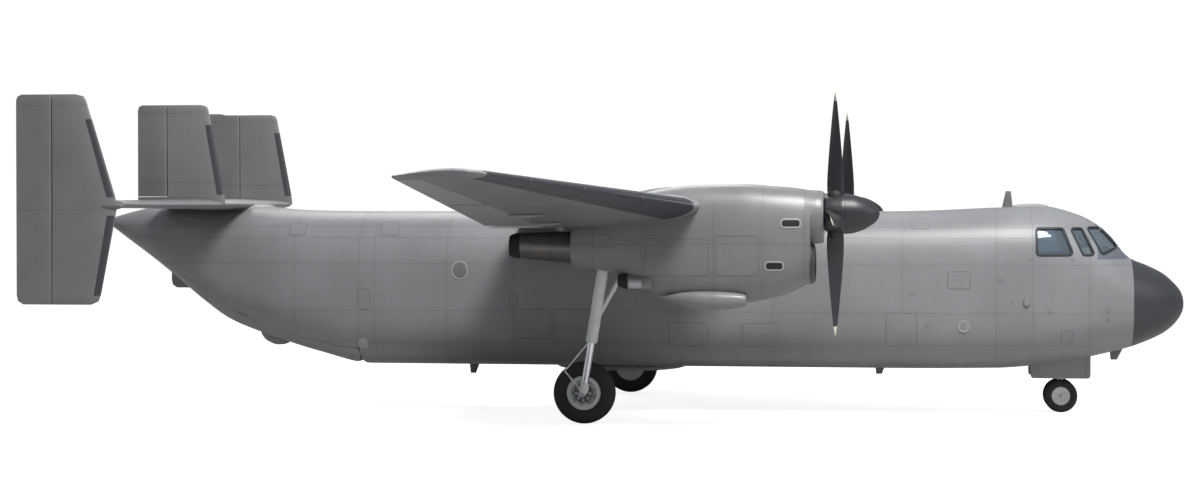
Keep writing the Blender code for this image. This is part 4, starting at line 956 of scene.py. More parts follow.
def make_tail_body():
    tail = fuselage_loft("tail_skin", TAIL_X - TIGHT, TAIL_END_X, fuselage_look)
    rings = []
    for x in (-4.0, -4.87, -5.38, -6.01, -6.36, -6.78, -7.27, -7.66, -7.94):
        half, top, bottom, _ = fuselage_at(x)
        ring = squared_oval(x, 0.0, half - 0.08, min(top, 0.0) - 0.20, bottom + 0.08, 4.5, 64)
        rings.append([(px, py, max(pz, CABIN_FLOOR)) for px, py, pz in ring])
    lower = [(-4.094, BELOW), (-4.094, belly_z(-4.10) + 0.39), (-5.38, belly_z(-5.38) + 0.39)]
    lower += [(-5.90, EYE - 0.85), (-6.50, EYE - 0.70), (SPLIT_X, EYE - 0.63), (SPLIT_X, BELOW)]
    upper = [(-6.782, BELOW), (-6.782, EYE - 0.63), (-7.956, EYE - 0.36), (-7.956, BELOW)]
    cut(tail, loft("hollow", rings, fuselage_look))
    cut(tail, tapered("doorway", lower, DOORWAY_ENDS, -GAP), tapered("doorway", upper, DOOR_ENDS, -GAP))
    line_inside(tail, liner_look)
    root = pod("root", 0.0, TAILPLANE_ROOT, fuselage_look, 2.6, 64, 0.06)
    finish_piece(joined("tail_skin", [tail, root]), "airframe", "tail_section")

    ramp = fuselage_loft("ramp_skin", -4.0, -7.2, door_look)
    keep(ramp, tapered("sides", ramp_outline(), RAMP_ENDS))
    hollow = on_belly([(HINGE_X - 0.2, 0.24), (-4.87, 0.14), (-5.38, 0.14), (-6.01, 0.14), (-6.40, 0.14)])
    hollow_tray(ramp, hollow + [(-6.32, EYE - 0.9), (HINGE_X - 0.2, EYE - 1.5)], RAMP_ENDS)
    bumper = belly_pod("bumper", TAIL_BUMPER, 0.03, (2.2, 40), door_look)
    finish_piece(joined("ramp_and_bumper", [ramp, bumper]), "cargo_ramp", "cargo_ramp")

    door = fuselage_loft("cargo_door_skin", -6.1, -8.1, door_look)
    wide = [(-6.0, 0.5), (-6.0, 3.5), (-8.2, 3.5), (-8.2, 0.5)]
    keep(door, tapered("sides", door_outline(), DOOR_ENDS), tapered("front", wide, RAMP_ENDS))
    hollow = on_belly([(-6.62, 0.24), (-6.78, 0.12), (-7.27, 0.10), (-7.66, 0.09)])
    hollow_tray(door, hollow + [(-7.60, EYE - 0.1), (-6.45, EYE - 0.7)], DOOR_ENDS)
    finish_piece(door, "cargo_door", "cargo_door")


# Wing sections: leading edge x and rel, trailing edge x and rel, thickness, camber
WING_CABIN = (2.139, 0.038, -1.552, -0.317, 0.50, 0.052)
WING_FOLD = (1.479, 0.020, -1.437, -0.285, 0.40, 0.045)
WING_TIP = (-0.200, 0.380, -1.145, 0.340, 0.105, 0.015)
ROOT_Y = 1.30
FLAP_HINGE = 0.76
# The rounded wing tip: span, how much shorter at each end, share of the thickness
TIP_ROUNDING = ((12.16, 0.008, 0.93), (12.22, 0.022, 0.80), (12.26, 0.044, 0.58), (TIP_Y, 0.07, 0.30))


def thickness_at(u):
    return (0.2969 * math.sqrt(u) - 0.126 * u - 0.3516 * u**2 + 0.2843 * u**3 - 0.1015 * u**4) / 0.1001


def surface_point(section, u, side, grow=0.0):
    front, front_rel, rear, rear_rel, thick, camber = section
    half = max(thick / 2 * thickness_at(u), 0.004) + grow
    x = front + (rear - front) * u + grow * (1 - 2 * u)
    return x, front_rel + (rear_rel - front_rel) * u + camber * 4 * u * (1 - u) + side * half


def hinge_of(section, hinge):
    x, rel = surface_point(section, hinge, 0)
    return x, rel, section[4] / 2 * thickness_at(hinge)


CHORD = [0.5 * (1 - math.cos(math.pi * k / 40)) for k in range(1, 28)]


def fixed_ring(section, hinge, gap, grow=0.0):
    """The fixed section, whole where gap is None, else with a hollow rear face around the moving nose."""
    x, rel, radius = hinge_of(section, hinge)
    end = 1.0 if gap is None else (section[0] - (x + radius + gap)) / (section[0] - section[2])
    last = 0.985 if gap is None else end
    spots = [u * last / CHORD[-1] for u in CHORD]
    ring = [surface_point(section, u, 1, grow) for u in reversed(spots)]
    ring.append((section[0] + grow, section[1]))
    ring += [surface_point(section, u, -1, grow) for u in spots]
    if gap is None:
        return ring + [surface_point(section, end, side, grow) for side in (-1, 1)]
    return ring + [(ring[-1][0], rel - radius * 0.4), (ring[-1][0], rel + radius * 0.4)]


def moving_ring(section, hinge, height=1.0):
    """A control surface from its round nose to its thin rear edge."""
    x, rel, radius = hinge_of(section, hinge)
    angles = [math.radians(90 - 180 * k / 16) for k in range(17)]
    ring = [(x + radius * math.cos(a), rel + radius * height * math.sin(a)) for a in angles]
    for side, steps in ((-1, (0.33, 0.66, 1.0)), (1, (1.0, 0.66, 0.33))):
        start = rel + side * radius * height
        ring += [(x + (section[2] - x) * t, start + (section[3] + side * 0.004 - start) * t) for t in steps]
    return ring


def wing_section(span):
    if span <= FOLD_Y:
        return between(WING_CABIN, WING_FOLD, max(span - ROOT_Y, 0.0) / (FOLD_Y - ROOT_Y))
    return between(WING_FOLD, WING_TIP, (span - FOLD_Y) / (TIP_Y - FOLD_Y))


def across(name, ring_at, spans, look, side=1):
    """A surface that runs across the plane. ring_at gives the (x, rel) points at a span."""
    return loft(name, [[(x, side * s, EYE + rel) for x, rel in ring_at(s)] for s in spans], look)


# Along the span, each with the gap round the control surface there or None where the section is whole
CENTRE_SPANS = ((0.0, None), (1.30, None), (1.39, None), (1.395, GAP), (2.2, GAP))
CENTRE_SPANS += ((3.088, GAP), (3.093, None), (3.8, None), (FOLD_Y, None))
OUTER_SPANS = ((5.6, GAP), (7.0, GAP), (8.306, GAP), (8.31, None), (8.42, None), (8.424, GAP))
OUTER_SPANS += ((10.0, GAP), (11.856, GAP), (11.86, None), (12.05, None))
TAILPLANE_SPANS = ((0.0, None), (0.968, None), (0.972, GAP), (1.4, GAP), (1.808, GAP), (1.812, None))
TAILPLANE_SPANS += ((2.0, None), (2.188, None), (2.192, GAP), (2.9, GAP), (3.558, GAP), (3.69, GAP))


def both_sides(name, spans, section_at, hinge, look, grow=0.0):
    gaps = dict(spans)

    def ring_at(span):
        return fixed_ring(section_at(abs(span)), hinge, gaps[abs(span)], grow)

    return across(name, ring_at, [-span for span in reversed(list(gaps)[1:])] + list(gaps), look)


def wing_centre_solid(name, grow=0.0):
    return both_sides(name, CENTRE_SPANS, wing_section, FLAP_HINGE, wing_look, grow)


PIVOT_X, PIVOT_REL = surface_point(WING_FOLD, 0.65, -1)
PIVOT_Y = FOLD_Y + 0.0503
PIVOT_BALL = [(0.05 * math.cos(a), max(0.05 * math.sin(a), 0.001)) for a in spaced(math.pi, 0.0, 0.3)]
# Flap hinge fairings, all ahead of the hinge: how far ahead, half width, share of the nose radius, depth
FLAP_FAIRING = (
    (0.50, 0.010, 0.95, 0.02),
    (0.38, 0.026, 0.85, 0.05),
    (0.22, 0.032, 0.75, 0.07),
    (0.10, 0.028, 0.75, 0.07),
    (0.05, 0.020, 0.80, 0.05),
)
FOLD_SLANT = 0.40
OUTER_START, OUTER_FAR = FOLD_Y + GAP, 8.30
TIP_LAMP = ((-0.03, 0.022), (0.03, 0.020), (0.055, 0.012), (0.062, 0.003))
BOOT_LIFT = 0.003


def slanted(ring_at, start):
    """The first ring of the outer wing, which slants outwards behind the fold pivot, as (x, span, rel)."""
    result = []
    for (x0, rel0), (x1, rel1) in zip(ring_at(start), ring_at(OUTER_FAR)):
        span = start + max(0.0, PIVOT_X - x0) * FOLD_SLANT
        t = (span - start) / (OUTER_FAR - start)
        result.append((x0 + (x1 - x0) * t, span, rel0 + (rel1 - rel0) * t))
    return result


def outer_loft(name, ring_at, start, rings, side, look):
    """An outer wing piece with a slanted inner end. rings holds (span, (x, rel) points)."""
    rows = [slanted(ring_at, start)] + [[(x, span, rel) for x, rel in ring] for span, ring in rings]
    return loft(name, [[(x, side * span, EYE + rel) for x, span, rel in row] for row in rows], look)


def wing_boot_ring(span):
    section = wing_section(span)
    share = (span - 4.4) / 7.5
    upper, lower = 0.045 + 0.02 * share, 0.135 + 0.015 * share
    ring = [surface_point(section, upper * k / 8, 1, BOOT_LIFT) for k in range(8, 0, -1)]
    ring.append((section[0] + BOOT_LIFT, section[1]))
    ring += [surface_point(section, lower * (k / 12) ** 1.6, -1, BOOT_LIFT) for k in range(1, 13)]
    return ring + [(x - 0.006, rel + (section[1] - rel) * 0.12) for x, rel in reversed(ring)]


def make_wings():
    parts = [wing_centre_solid("wing_centre_skin")]
    for side, _ in SIDES:
        inner, outer = sorted((side * (FOLD_Y - 0.08), side * FOLD_Y))
        x, z = PIVOT_X, EYE + PIVOT_REL
        parts.append(box("lug", (x - 0.06, inner, z - 0.06), (x + 0.06, outer, z + 0.06), fitting_look))
    finish_piece(joined("wing_centre_and_lugs", parts), "airframe", "wing_centre")
    for side, word in SIDES:
        body = f"wing_outer_{word}"

        def fixed(span, gap=GAP):
            return fixed_ring(wing_section(span), FLAP_HINGE, gap)

        def moving(span):
            return moving_ring(wing_section(span), FLAP_HINGE)

        rings = [(span, fixed(span, gap)) for span, gap in OUTER_SPANS]
        front, front_rel, rear, rear_rel, thick, camber = WING_TIP
        for span, inset, share in TIP_ROUNDING:
            tip = (front - inset, front_rel, rear + inset, rear_rel, thick * share, camber)
            rings.append((span, fixed_ring(tip, FLAP_HINGE, None)))
        panel = outer_loft("panel", fixed, OUTER_START, rings, side, wing_look)
        # Faces that look downwards take the darker copy of the paint: painted shade on the wing's underside.
        second_look(panel, wing_underside_shade_look, lambda face: face.normal.z < -0.3)
        ball = turned("ball", "Y", (PIVOT_X, side * PIVOT_Y, EYE + PIVOT_REL), PIVOT_BALL, fitting_look)
        finish_piece(joined(f"outer_wing_skin_{word}", [panel, ball]), body, body)

        rings = [(span, moving(span)) for span in (5.5, 6.9, OUTER_FAR)]
        flap = outer_loft(f"outer_flap_skin_{word}", moving, OUTER_START + 0.012, rings, side, control_look)
        finish_piece(flap, f"flap_outer_{word}", f"flap_outer_{word}")
        surfaces = (
            ("inner_flap_skin", f"flap_inner_{word}", (1.41, 2.2, 3.08)),
            ("aileron_skin", f"aileron_{word}", (8.43, 10.1, 11.85)),
        )
        for name, node, spans in surfaces:
            piece = across(f"{name}_{word}", moving, spans, control_look, side)
            finish_piece(piece, node, node)

        parts = []
        for low, high in ((4.47, 6.62), (6.64, 8.84), (8.86, 10.62), (10.64, 11.93)):
            parts.append(across("boot", wing_boot_ring, spaced(low, high, 0.5), wing_boot_look, side))
        for span in (5.35, 6.85):
            x, rel, radius = hinge_of(wing_section(span), FLAP_HINGE)
            rings = []
            for ahead, half, share, drop in FLAP_FAIRING:
                top = rel - radius * share
                rings.append(squared_oval(x + ahead, side * span, half, top, top - drop, 2.0, 28))
            parts.append(loft("hinge_fairing", rings, hatch_look))
        lens = red_lens_look if side > 0 else green_lens_look
        spot = (WING_TIP[0] - 0.10, side * (TIP_Y - 0.10), EYE + WING_TIP[1] - 0.001)
        parts.append(turned("tip_lamp", "X", spot, TIP_LAMP, lens, 20))
        finish_piece(joined(f"wing_boots_{word}", parts), body)


# Tailplane sections as on the wing; fins from the foot up: rel, leading edge x, rear edge x, thickness
TAILPLANE_MIDDLE = (-5.95, 0.05, -7.40, 0.05, 0.17, 0.0)
TAILPLANE_KNEE = (-6.00, 0.05, -7.40, 0.05, 0.15, 0.0)
TAILPLANE_TIP = (-7.04, 0.05, -8.15, 0.05, 0.11, 0.0)
ELEVATOR_HINGE = 0.68
OUTER_FIN = (
    (-1.436, -7.52, -8.56, 0.030),
    (-1.385, -7.40, -8.64, 0.060),
    (-1.300, -7.37, -8.66, 0.080),
    (0.037, -7.11, -8.66, 0.150),
    (1.580, -7.583, -8.66, 0.090),
    (1.640, -7.62, -8.64, 0.060),
    (1.671, -7.74, -8.58, 0.030),
)
INNER_FIN = (
    (0.050, -5.98, -7.37, 0.140),
    (0.157, -5.99, -7.37, 0.138),
    (1.500, -6.245, -7.37, 0.090),
    (1.555, -6.27, -7.35, 0.060),
    (1.579, -6.36, -7.30, 0.030),
)
# Each fin: y, sections, hinge x, foot of the rudder, further (rel, gap) rings, boots from and to, finish
FINS = {
    "outer": (FIN_Y, OUTER_FIN, -8.14, OUTER_FIN[0][0], [(-0.6, GAP), (0.8, GAP)],
              ((-1.30, -0.12), (0.15, 1.30)), fin_look),
    "inner": (INNER_FIN_Y, INNER_FIN, -6.93, 0.168, [(0.164, GAP), (0.161, None)],
              ((0.20, 1.27),), inner_fin_look),
}
# Elevators: spans, share of the section's height
ELEVATORS = {"inner": ((0.98, 1.39, 1.80), 1.0), "outer": ((2.20, 2.87, 3.55), 0.89)}


def tailplane_section(span):
    if span <= INNER_FIN_Y:
        return between(TAILPLANE_MIDDLE, TAILPLANE_KNEE, span / INNER_FIN_Y)
    return between(TAILPLANE_KNEE, TAILPLANE_TIP, (span - INNER_FIN_Y) / (FIN_Y - INNER_FIN_Y))


def fin_section(table, span):
    for low, high in zip(table, table[1:]):
        if low[0] - 1e-9 <= span <= high[0] + 1e-9:
            front, rear, thick = between(low[1:], high[1:], (span - low[0]) / (high[0] - low[0]))
            return front, 0.0, rear, 0.0, thick, 0.0


def fin_boot_ring(section):
    spots = [0.075 * k / 6 for k in range(6, 0, -1)]
    ring = [surface_point(section, u, 1, BOOT_LIFT) for u in spots] + [(section[0] + BOOT_LIFT, 0.0)]
    ring += [surface_point(section, u, -1, BOOT_LIFT) for u in reversed(spots)]
    return ring + [(x - 0.006, off * 0.85) for x, off in reversed(ring)]


def make_fin(side, word, where):
    y, table, hinge, foot, more, reach, look = FINS[where]

    def upright(name, ring_at, spans, finish):
        rings = []
        for span in spans:
            section = fin_section(table, span)
            share = (section[0] - hinge) / (section[0] - section[2])
            rings.append([(x, side * y + off, EYE + span) for x, off in ring_at(span, section, share)])
        return loft(name, rings, finish)

    def fixed(span, section, share):
        return fixed_ring(section, share, gaps[span])

    def moving(span, section, share):
        return moving_ring(section, share)

    def boot(span, section, share):
        return fin_boot_ring(section)

    gaps = [(row[0], GAP if where == "outer" or row[0] > foot else None) for row in table]
    gaps = dict(sorted(gaps + more))
    fin = f"fin_{where}_{word}"
    finish_piece(upright(f"{fin}_skin", fixed, gaps, look), "airframe", fin)
    rudder = f"rudder_{where}_{word}"
    spans = [foot] + [row[0] for row in table if row[0] > foot]
    finish_piece(upright(f"{rudder}_skin", moving, spans, look), rudder, rudder)
    boots = [upright("boot", boot, spaced(low, high, 0.12), boot_look) for low, high in reach]
    finish_piece(joined(f"fin_boots_{where}_{word}", boots))


def make_tail():
    parts = [both_sides("tailplane", TAILPLANE_SPANS, tailplane_section, ELEVATOR_HINGE, wing_look)]
    parts += [pod("bullet", side * FIN_Y, TAIL_BULLET, fitting_look, 2.0, 32) for side, _ in SIDES]
    finish_piece(joined("tailplane_skin", parts), "airframe", "tailplane")
    for side, word in SIDES:
        for where, (spans, height) in ELEVATORS.items():
            node = f"elevator_{where}_{word}"

            def ring_at(span):
                return moving_ring(tailplane_section(span), ELEVATOR_HINGE, height)

            piece = across(f"{node}_skin", ring_at, spans, control_look, side)
            finish_piece(piece, node, node)
        for where in FINS:
            make_fin(side, word, where)


# Nacelle stations: x, half width, top rel, bottom rel, squareness
NACELLE = (
    (3.067, 0.420, 0.245, -1.055, 2.3),
    (2.784, 0.460, 0.285, -1.200, 2.4),
    (2.515, 0.490, 0.305, -1.286, 2.5),
    (2.100, 0.510, 0.334, -1.352, 2.6),
    (1.400, 0.520, 0.320, -1.345, 2.8),
    (0.960, 0.520, 0.270, -1.294, 2.8),
    (0.657, 0.510, 0.200, -1.195, 2.8),
    (0.282, 0.500, 0.060, -0.953, 2.8),
    (-0.311, 0.470, -0.200, -0.855, 3.0),
)
nacelle_at = smooth_rule(NACELLE)
SHAFT_REL = -0.135
NOSE_RING = ((2.60, 0.30), (2.60, 0.37), (3.00, 0.385), (3.14, 0.380), (3.22, 0.372), (3.25, 0.355))
COOLING_POD = (
    (2.174, 0.090, -1.238, -1.382),
    (2.120, 0.108, -1.215, -1.400),
    (1.940, 0.140, -1.192, -1.432),
    (1.710, 0.155, -1.179, -1.450),
    (1.510, 0.150, -1.179, -1.440),
    (1.310, 0.120, -1.190, -1.405),
    (1.120, 0.070, -1.225, -1.350),
    (0.960, 0.010, -1.275, -1.290),
)
POD_MOUTH = ((2.224, 0.072, -1.255, -1.365), (2.040, 0.065, -1.265, -1.355))
POD_OUT, OUTLET_OUT = 0.36, 0.37
OUTLET = ((0.850, 0.110, -0.940, -1.165), (0.520, 0.105, -0.930, -1.160), (0.350, 0.070, -0.950, -1.110))
OUTLET_SLEEVES = (
    ((0.70, 0.110, -0.936, -1.166), (0.52, 0.108, -0.929, -1.164), steel_look),
    ((0.50, 0.106, -0.928, -1.163), (0.36, 0.076, -0.945, -1.119), soot_and_shade_look),
)
INTAKE_LIP = (
    (2.880, 0.385, -0.420, -1.110),
    (3.060, 0.365, -0.500, -1.080),
    (3.110, 0.350, -0.522, -1.066),
    (3.130, 0.330, -0.545, -1.045),
)
INTAKE = (0.29, -0.59, -1.005, 2.2)
# On the nacelle's side: x, rel, length, height, corner radius
NACELLE_SLOTS = ((2.80, -0.224, 0.27, 0.115, 0.045), (2.57, -0.822, 0.25, 0.115, 0.045))
NACELLE_PANELS = (
    (0.14, -0.47, 0.27, 0.17, 0.03),
    (1.20, -0.70, 0.90, 0.52, 0.05),
    (2.05, -0.68, 0.60, 0.56, 0.05),
)
# The exhaust pipe's middle as x and rel, then its outside and its bore as x and radius
PIPE_MIDDLE = smooth_rule(((-0.3113, -0.576), (-1.090, -0.552), (-1.180, -0.552), (-1.253, -0.555)))
PIPE = (
    (-0.3113, 0.232),
    (-0.55, 0.222),
    (-0.85, 0.202),
    (-1.090, 0.184),
    (-1.092, 0.188),
    (-1.180, 0.178),
    (-1.235, 0.160),
    (-1.253, 0.150),
    (-1.253, 0.130),
    (-1.15, 0.155),
    (-0.45, 0.19),
)
SOOT_X, BORE_RADIUS = -1.088, 0.175


def nacelle_ring(x, y, shrink=0.0, count=96):
    half, top, bottom, power = nacelle_at(x)
    return squared_oval(x, y, half - shrink, top - shrink, bottom + shrink, power, count)


def lip_ring(x, y, grow=0.0):
    half, top, bottom = smooth_rule(INTAKE_LIP)(x)
    return squared_oval(x, y, half + grow, top + grow, bottom - grow, 2.2, 64)


def intake_edge(y):
    """The dark edge of the intake's lip, from outside round to the inside of the mouth."""
    rings = [lip_ring(x, y, 0.004) for x in (3.06, 3.09, 3.11, 3.128)]
    inner = [squared_oval(x, y, *INTAKE, 64) for x in (3.134, 3.06)]
    bend = [between(p, q, 0.55) for p, q in zip(rings[-1], inner[0])]
    return loft("intake_edge", [*rings, bend, *inner], boot_look, False)


def make_nacelles():
    for side, word in SIDES:
        y = side * NACELLE_Y
        pod_y, outlet_y = y + side * POD_OUT, y + side * OUTLET_OUT
        shell = loft("shell", [nacelle_ring(x, y) for x in spaced(3.067, -0.311, 0.09)], nacelle_look)
        lip = [lip_ring(x, y) for x in (2.88, 2.97, 3.06, 3.09, 3.11, 3.122, 3.13)]
        for tool in (
            turned("nose_ring", "X", (0.0, y, EYE + SHAFT_REL), NOSE_RING, nacelle_look, 64),
            loft("lip", lip, nacelle_look),
            pod("outlet", outlet_y, OUTLET, nacelle_look),
            pod("pod", pod_y, COOLING_POD, nacelle_look),
        ):
            boolean(shell, tool, "UNION")
        bay = [nacelle_ring(x, y, 0.05, 48) for x in spaced(2.98, 0.76, 0.25)]
        mouth = [squared_oval(x, y, *INTAKE, 48) for x in (3.3, 2.6)]
        cut(shell, pod("pod_mouth", pod_y, POD_MOUTH, nacelle_look), loft("engine_bay", bay, nacelle_look))
        cut(shell, loft("mouth", mouth, nacelle_look), wing_centre_solid("seat", TIGHT))
        cut(shell, box("well", (-0.24, y - 0.21, 1.5), (0.60, y + 0.21, EYE - 0.62), nacelle_look))
        parts = [shell]
        for place in NACELLE_SLOTS:
            # A black plate stands for the slot's opening: painted shade inside the slot.
            parts.append(plate("slot", place, side, soot_and_shade_look, 0.003, nacelle_at, y))
            parts.append(rim_on("slot_edge", place, side, light_grey_look, 0.024, 0.007, nacelle_at, y))
        for place in NACELLE_PANELS:
            parts.append(rim_on("panel_edge", place, side, seam_look, 0.010, 0.002, nacelle_at, y))
        for *rows, look in OUTLET_SLEEVES:
            rings = [squared_oval(x, outlet_y, *size, 2.2, 40) for x, *size in rows]
            parts.append(loft("outlet_sleeve", rings, look))
        # A black disc closes the back of the intake mouth: painted shade for the depth of the duct.
        back = [squared_oval(x, y, 0.30, -0.58, -1.015, 2.2, 48) for x in (2.62, 2.60)]
        parts += [intake_edge(y), loft("intake_depth_shade", back, soot_and_shade_look)]
        # A black disc inside the scoop's mouth: painted shade for the depth of the duct.
        disc = ((0.0, 0.06), (-0.09, 0.055), (-0.10, 0.03))
        parts.append(turned("pod_mouth_shade", "X", (2.15, pod_y, EYE - 1.31), disc, soot_and_shade_look, 24))
        finish_piece(joined(f"nacelle_skin_{word}", parts), "airframe", f"nacelle_{word}")

        rings = []
        for x, radius in PIPE:
            middle = PIPE_MIDDLE(x)[0]
            rings.append(squared_oval(x, y, radius, middle + radius, middle - radius, 2.0, 64))
        pipe = loft(f"exhaust_pipe_{word}", rings, pipe_look)

        def sooty(face):
            reach = math.hypot(face.center.y - y, face.center.z - EYE + 0.555)
            return face.center.x < SOOT_X or (face.normal.x < 0.3 and reach < BORE_RADIUS)

        second_look(pipe, soot_and_shade_look, sooty)
        finish_piece(pipe, "airframe", f"exhaust_{word}")
        frame["nodes"][f"engine_{word}"].data.materials[0] = dark_steel_look


# Blade stations: radius, chord, pitch in degrees, thickness
BLADE = (
    (0.16, 0.20, 62, 0.120),
    (0.34, 0.27, 60, 0.080),
    (0.60, 0.29, 50, 0.058),
    (0.90, 0.28, 40, 0.044),
    (1.20, 0.25, 31, 0.032),
    (1.45, 0.19, 25, 0.023),
    (1.62, 0.12, 21, 0.016),
    (PROP_RADIUS, 0.015, 19, 0.008),
)
BLADE_TURN = 3.5
TIP_START = 1.59
HUB = (
    (-0.1597, 0.10),
    (-0.153, 0.10),
    (-0.152, 0.225),
    (-0.13, 0.250),
    (-0.08, 0.262),
    (0.0, 0.270),
    (0.08, 0.276),
    (0.132, 0.280),
    (0.140, 0.276),
)
CUFF = ((0.20, 0.115), (0.285, 0.112), (0.30, 0.105), (0.335, 0.09), (0.34, 0.05))
SPINNER = ((0.1403, 0.285), (0.25, 0.272), (0.37, 0.235), (0.49, 0.172))
SPINNER += ((0.575, 0.105), (0.615, 0.045), (0.626, 0.004))
SPINNER_TIP, SPINNER_LONG = 0.627, 0.4867


def circle(centre, radius, count, axis, start=0.0):
    """Angles and points of an even ring round a centre, across the axis X or Y."""
    for a in turns(count):
        c, s = radius * math.cos(a + start), radius * math.sin(a + start)
        yield a + start, Vector(centre) + Vector((0.0, c, s) if axis == "X" else (c, 0.0, s))


def blade(centre, angle):
    rule = smooth_rule(BLADE)
    out = (math.cos(angle), math.sin(angle))
    rings = []
    for radius in spaced(0.16, 1.60, 0.08) + [1.64, 1.67, 1.695, 1.715, 1.727, PROP_RADIUS]:
        chord, pitch, thick = rule(radius)
        c, s = math.cos(math.radians(pitch)), math.sin(math.radians(pitch))
        ring = []
        for a in turns(24):
            along, over = math.cos(a) * chord / 2, math.sin(a) * thick / 2 * (1 + 0.35 * math.cos(a))
            sweep = along * c - over * s
            y = centre[1] + out[0] * radius - out[1] * sweep
            ring.append((centre[0] + along * s + over * c, y, centre[2] + out[1] * radius + out[0] * sweep))
        rings.append(ring)
    made = loft("blade", rings, blade_look)

    def at_tip(face):
        return math.hypot(face.center.y - centre[1], face.center.z - centre[2]) > TIP_START

    second_look(made, tip_look, at_tip)
    return made


def make_propellers():
    rule = smooth_rule(SPINNER, lambda along: -math.sqrt(max(SPINNER_TIP - along, 0.0)))
    spots = [SPINNER_TIP - SPINNER_LONG * t * t for t in spaced(1.0, 0.045, 0.05)]
    profile = [(along, float(rule(along)[0])) for along in spots]
    for side, word in SIDES:
        centre = (PROP_X, side * NACELLE_Y, PROP_Z)
        parts = [turned("hub", "X", centre, HUB, blade_look, 72)]
        for angle, spot in circle(centre, 1.0, 4, "X", math.radians(BLADE_TURN)):
            parts.append(blade(centre, angle))
            parts.append(turned("cuff", tuple(spot - Vector(centre)), centre, CUFF, seal_look, 32))
        front = (PROP_X + 0.118, *centre[1:])
        for angle, spot in circle(front, 0.279, 28, "X"):
            out = (0.0, math.cos(angle), math.sin(angle))
            parts.append(turned("screw", out, spot, ((-0.01, 0.007), (0.003, 0.006)), steel_look, 8))
        body = f"propeller_{word}"
        finish_piece(joined(f"propeller_blades_{word}", parts), body, body)
        spinner = turned(f"spinner_skin_{word}", "X", centre, profile, blade_look, 72)
        finish_piece(spinner, body, f"spinner_{word}")


MAIN_WHEEL = dict(x=-0.27, y=2.965, radius=0.455, half=0.14, rim=0.25, bolts=9)
NOSE_WHEEL = dict(x=6.79, y=0.17, radius=0.255, half=0.07, rim=0.14, bolts=6)
# Half a tyre's section with its grooves: share of the half width, share of the wall
TYRE_HALF = ((0.035, 0.94), (0.05, 1.0), (0.19, 1.0), (0.205, 0.94), (0.26, 0.94), (0.275, 1.0))
TYRE_HALF += ((0.44, 0.992), (0.455, 0.93), (0.51, 0.93), (0.525, 0.985), (0.66, 0.945), (0.80, 0.87))
TYRE_HALF += ((0.90, 0.76), (0.965, 0.60), (0.995, 0.42), (0.97, 0.24), (0.90, 0.09), (0.86, 0.06))
TYRE_HALF += ((0.85, 0.0),)
WALL_RING = ((0.99, 0.52), (1.012, 0.50), (1.012, 0.46), (0.99, 0.44))
# Half a rim's section: share of the half width, share of the radius
RIM_HALF = ((0.60, 0.02), (0.60, 0.50), (0.94, 0.765), (1.0, 0.80), (1.0, 0.875), (0.985, 0.89))
RIM_HALF += ((0.90, 0.90), (0.90, 0.93), (0.985, 0.945), (1.0, 0.96), (1.0, 1.0))
RIM_CAP = ((0.0, 0.17), (0.010, 0.17), (0.018, 0.14), (0.020, 0.05), (0.020, 0.01))


def make_wheels(size, side, word, stem, body):
    centre = (size["x"], side * size["y"], size["radius"])
    inner, bolts = size["rim"], size["bolts"]
    wall = size["radius"] - inner
    half = [(w * size["half"], inner + share * wall) for w, share in TYRE_HALF]
    parts = [turned("tyre", "Y", centre, [(-w, r) for w, r in reversed(half)] + half, tyre_look, 96, True)]
    for face in (1, -1):
        w = size["half"] * 0.975 * face
        ring = [(w * share, inner + wall * rise) for share, rise in WALL_RING]
        parts.append(turned("wall_ring", "Y", centre, ring, tyre_look, 96, True))
    finish_piece(joined(f"{stem}_tyre_skin_{word}", parts), body, f"{stem}_tyre_{word}", 25)

    deep, edge = size["half"] * 0.8, inner - TIGHT
    half = [(w * deep, share * edge) for w, share in RIM_HALF]
    profile = [(-w, r) for w, r in half] + [(w, r) for w, r in reversed(half)]
    rim = turned("rim", "Y", centre, profile, gear_look, 72)
    holes = []
    for _, spot in circle(centre, edge * 0.66, bolts, "Y", math.pi / bolts):
        for ends in ((-deep * 1.2, -deep * 0.45), (deep * 0.45, deep * 1.2)):
            holes.append(turned("hole", "Y", spot, [(w, edge * 0.085) for w in ends], soot_and_shade_look, 20))
    cut(rim, joined("holes", holes))
    outer = side if stem == "nose" else -side
    face = outer * deep * 0.60
    cap = [(face + outer * w, r * edge) for w, r in RIM_CAP]
    parts = [rim, turned("cap", "Y", centre, cap, steel_look, 32)]
    for _, spot in circle(centre, edge * 0.42, bolts * 2, "Y"):
        nut = [(face + outer * w, edge * 0.035) for w in (-0.004, 0.008)]
        parts.append(turned("nut", "Y", spot, nut, steel_look, 6))
    finish_piece(joined(f"{stem}_rim_skin_{word}", parts), body, f"{stem}_rim_{word}")


def collars(start, end, places):
    """Rings round a rod. places holds the share of the rod's way, radius and length."""
    start, end = Vector(start), Vector(end)
    made = []
    for share, radius, long in places:
        profile = ((0, radius * 0.94), (long * 0.12, radius), (long * 0.88, radius), (long, radius * 0.94))
        here = start + (end - start) * share
        made.append(turned("collar", tuple(end - start), here, profile, gear_look, 32))
    return made


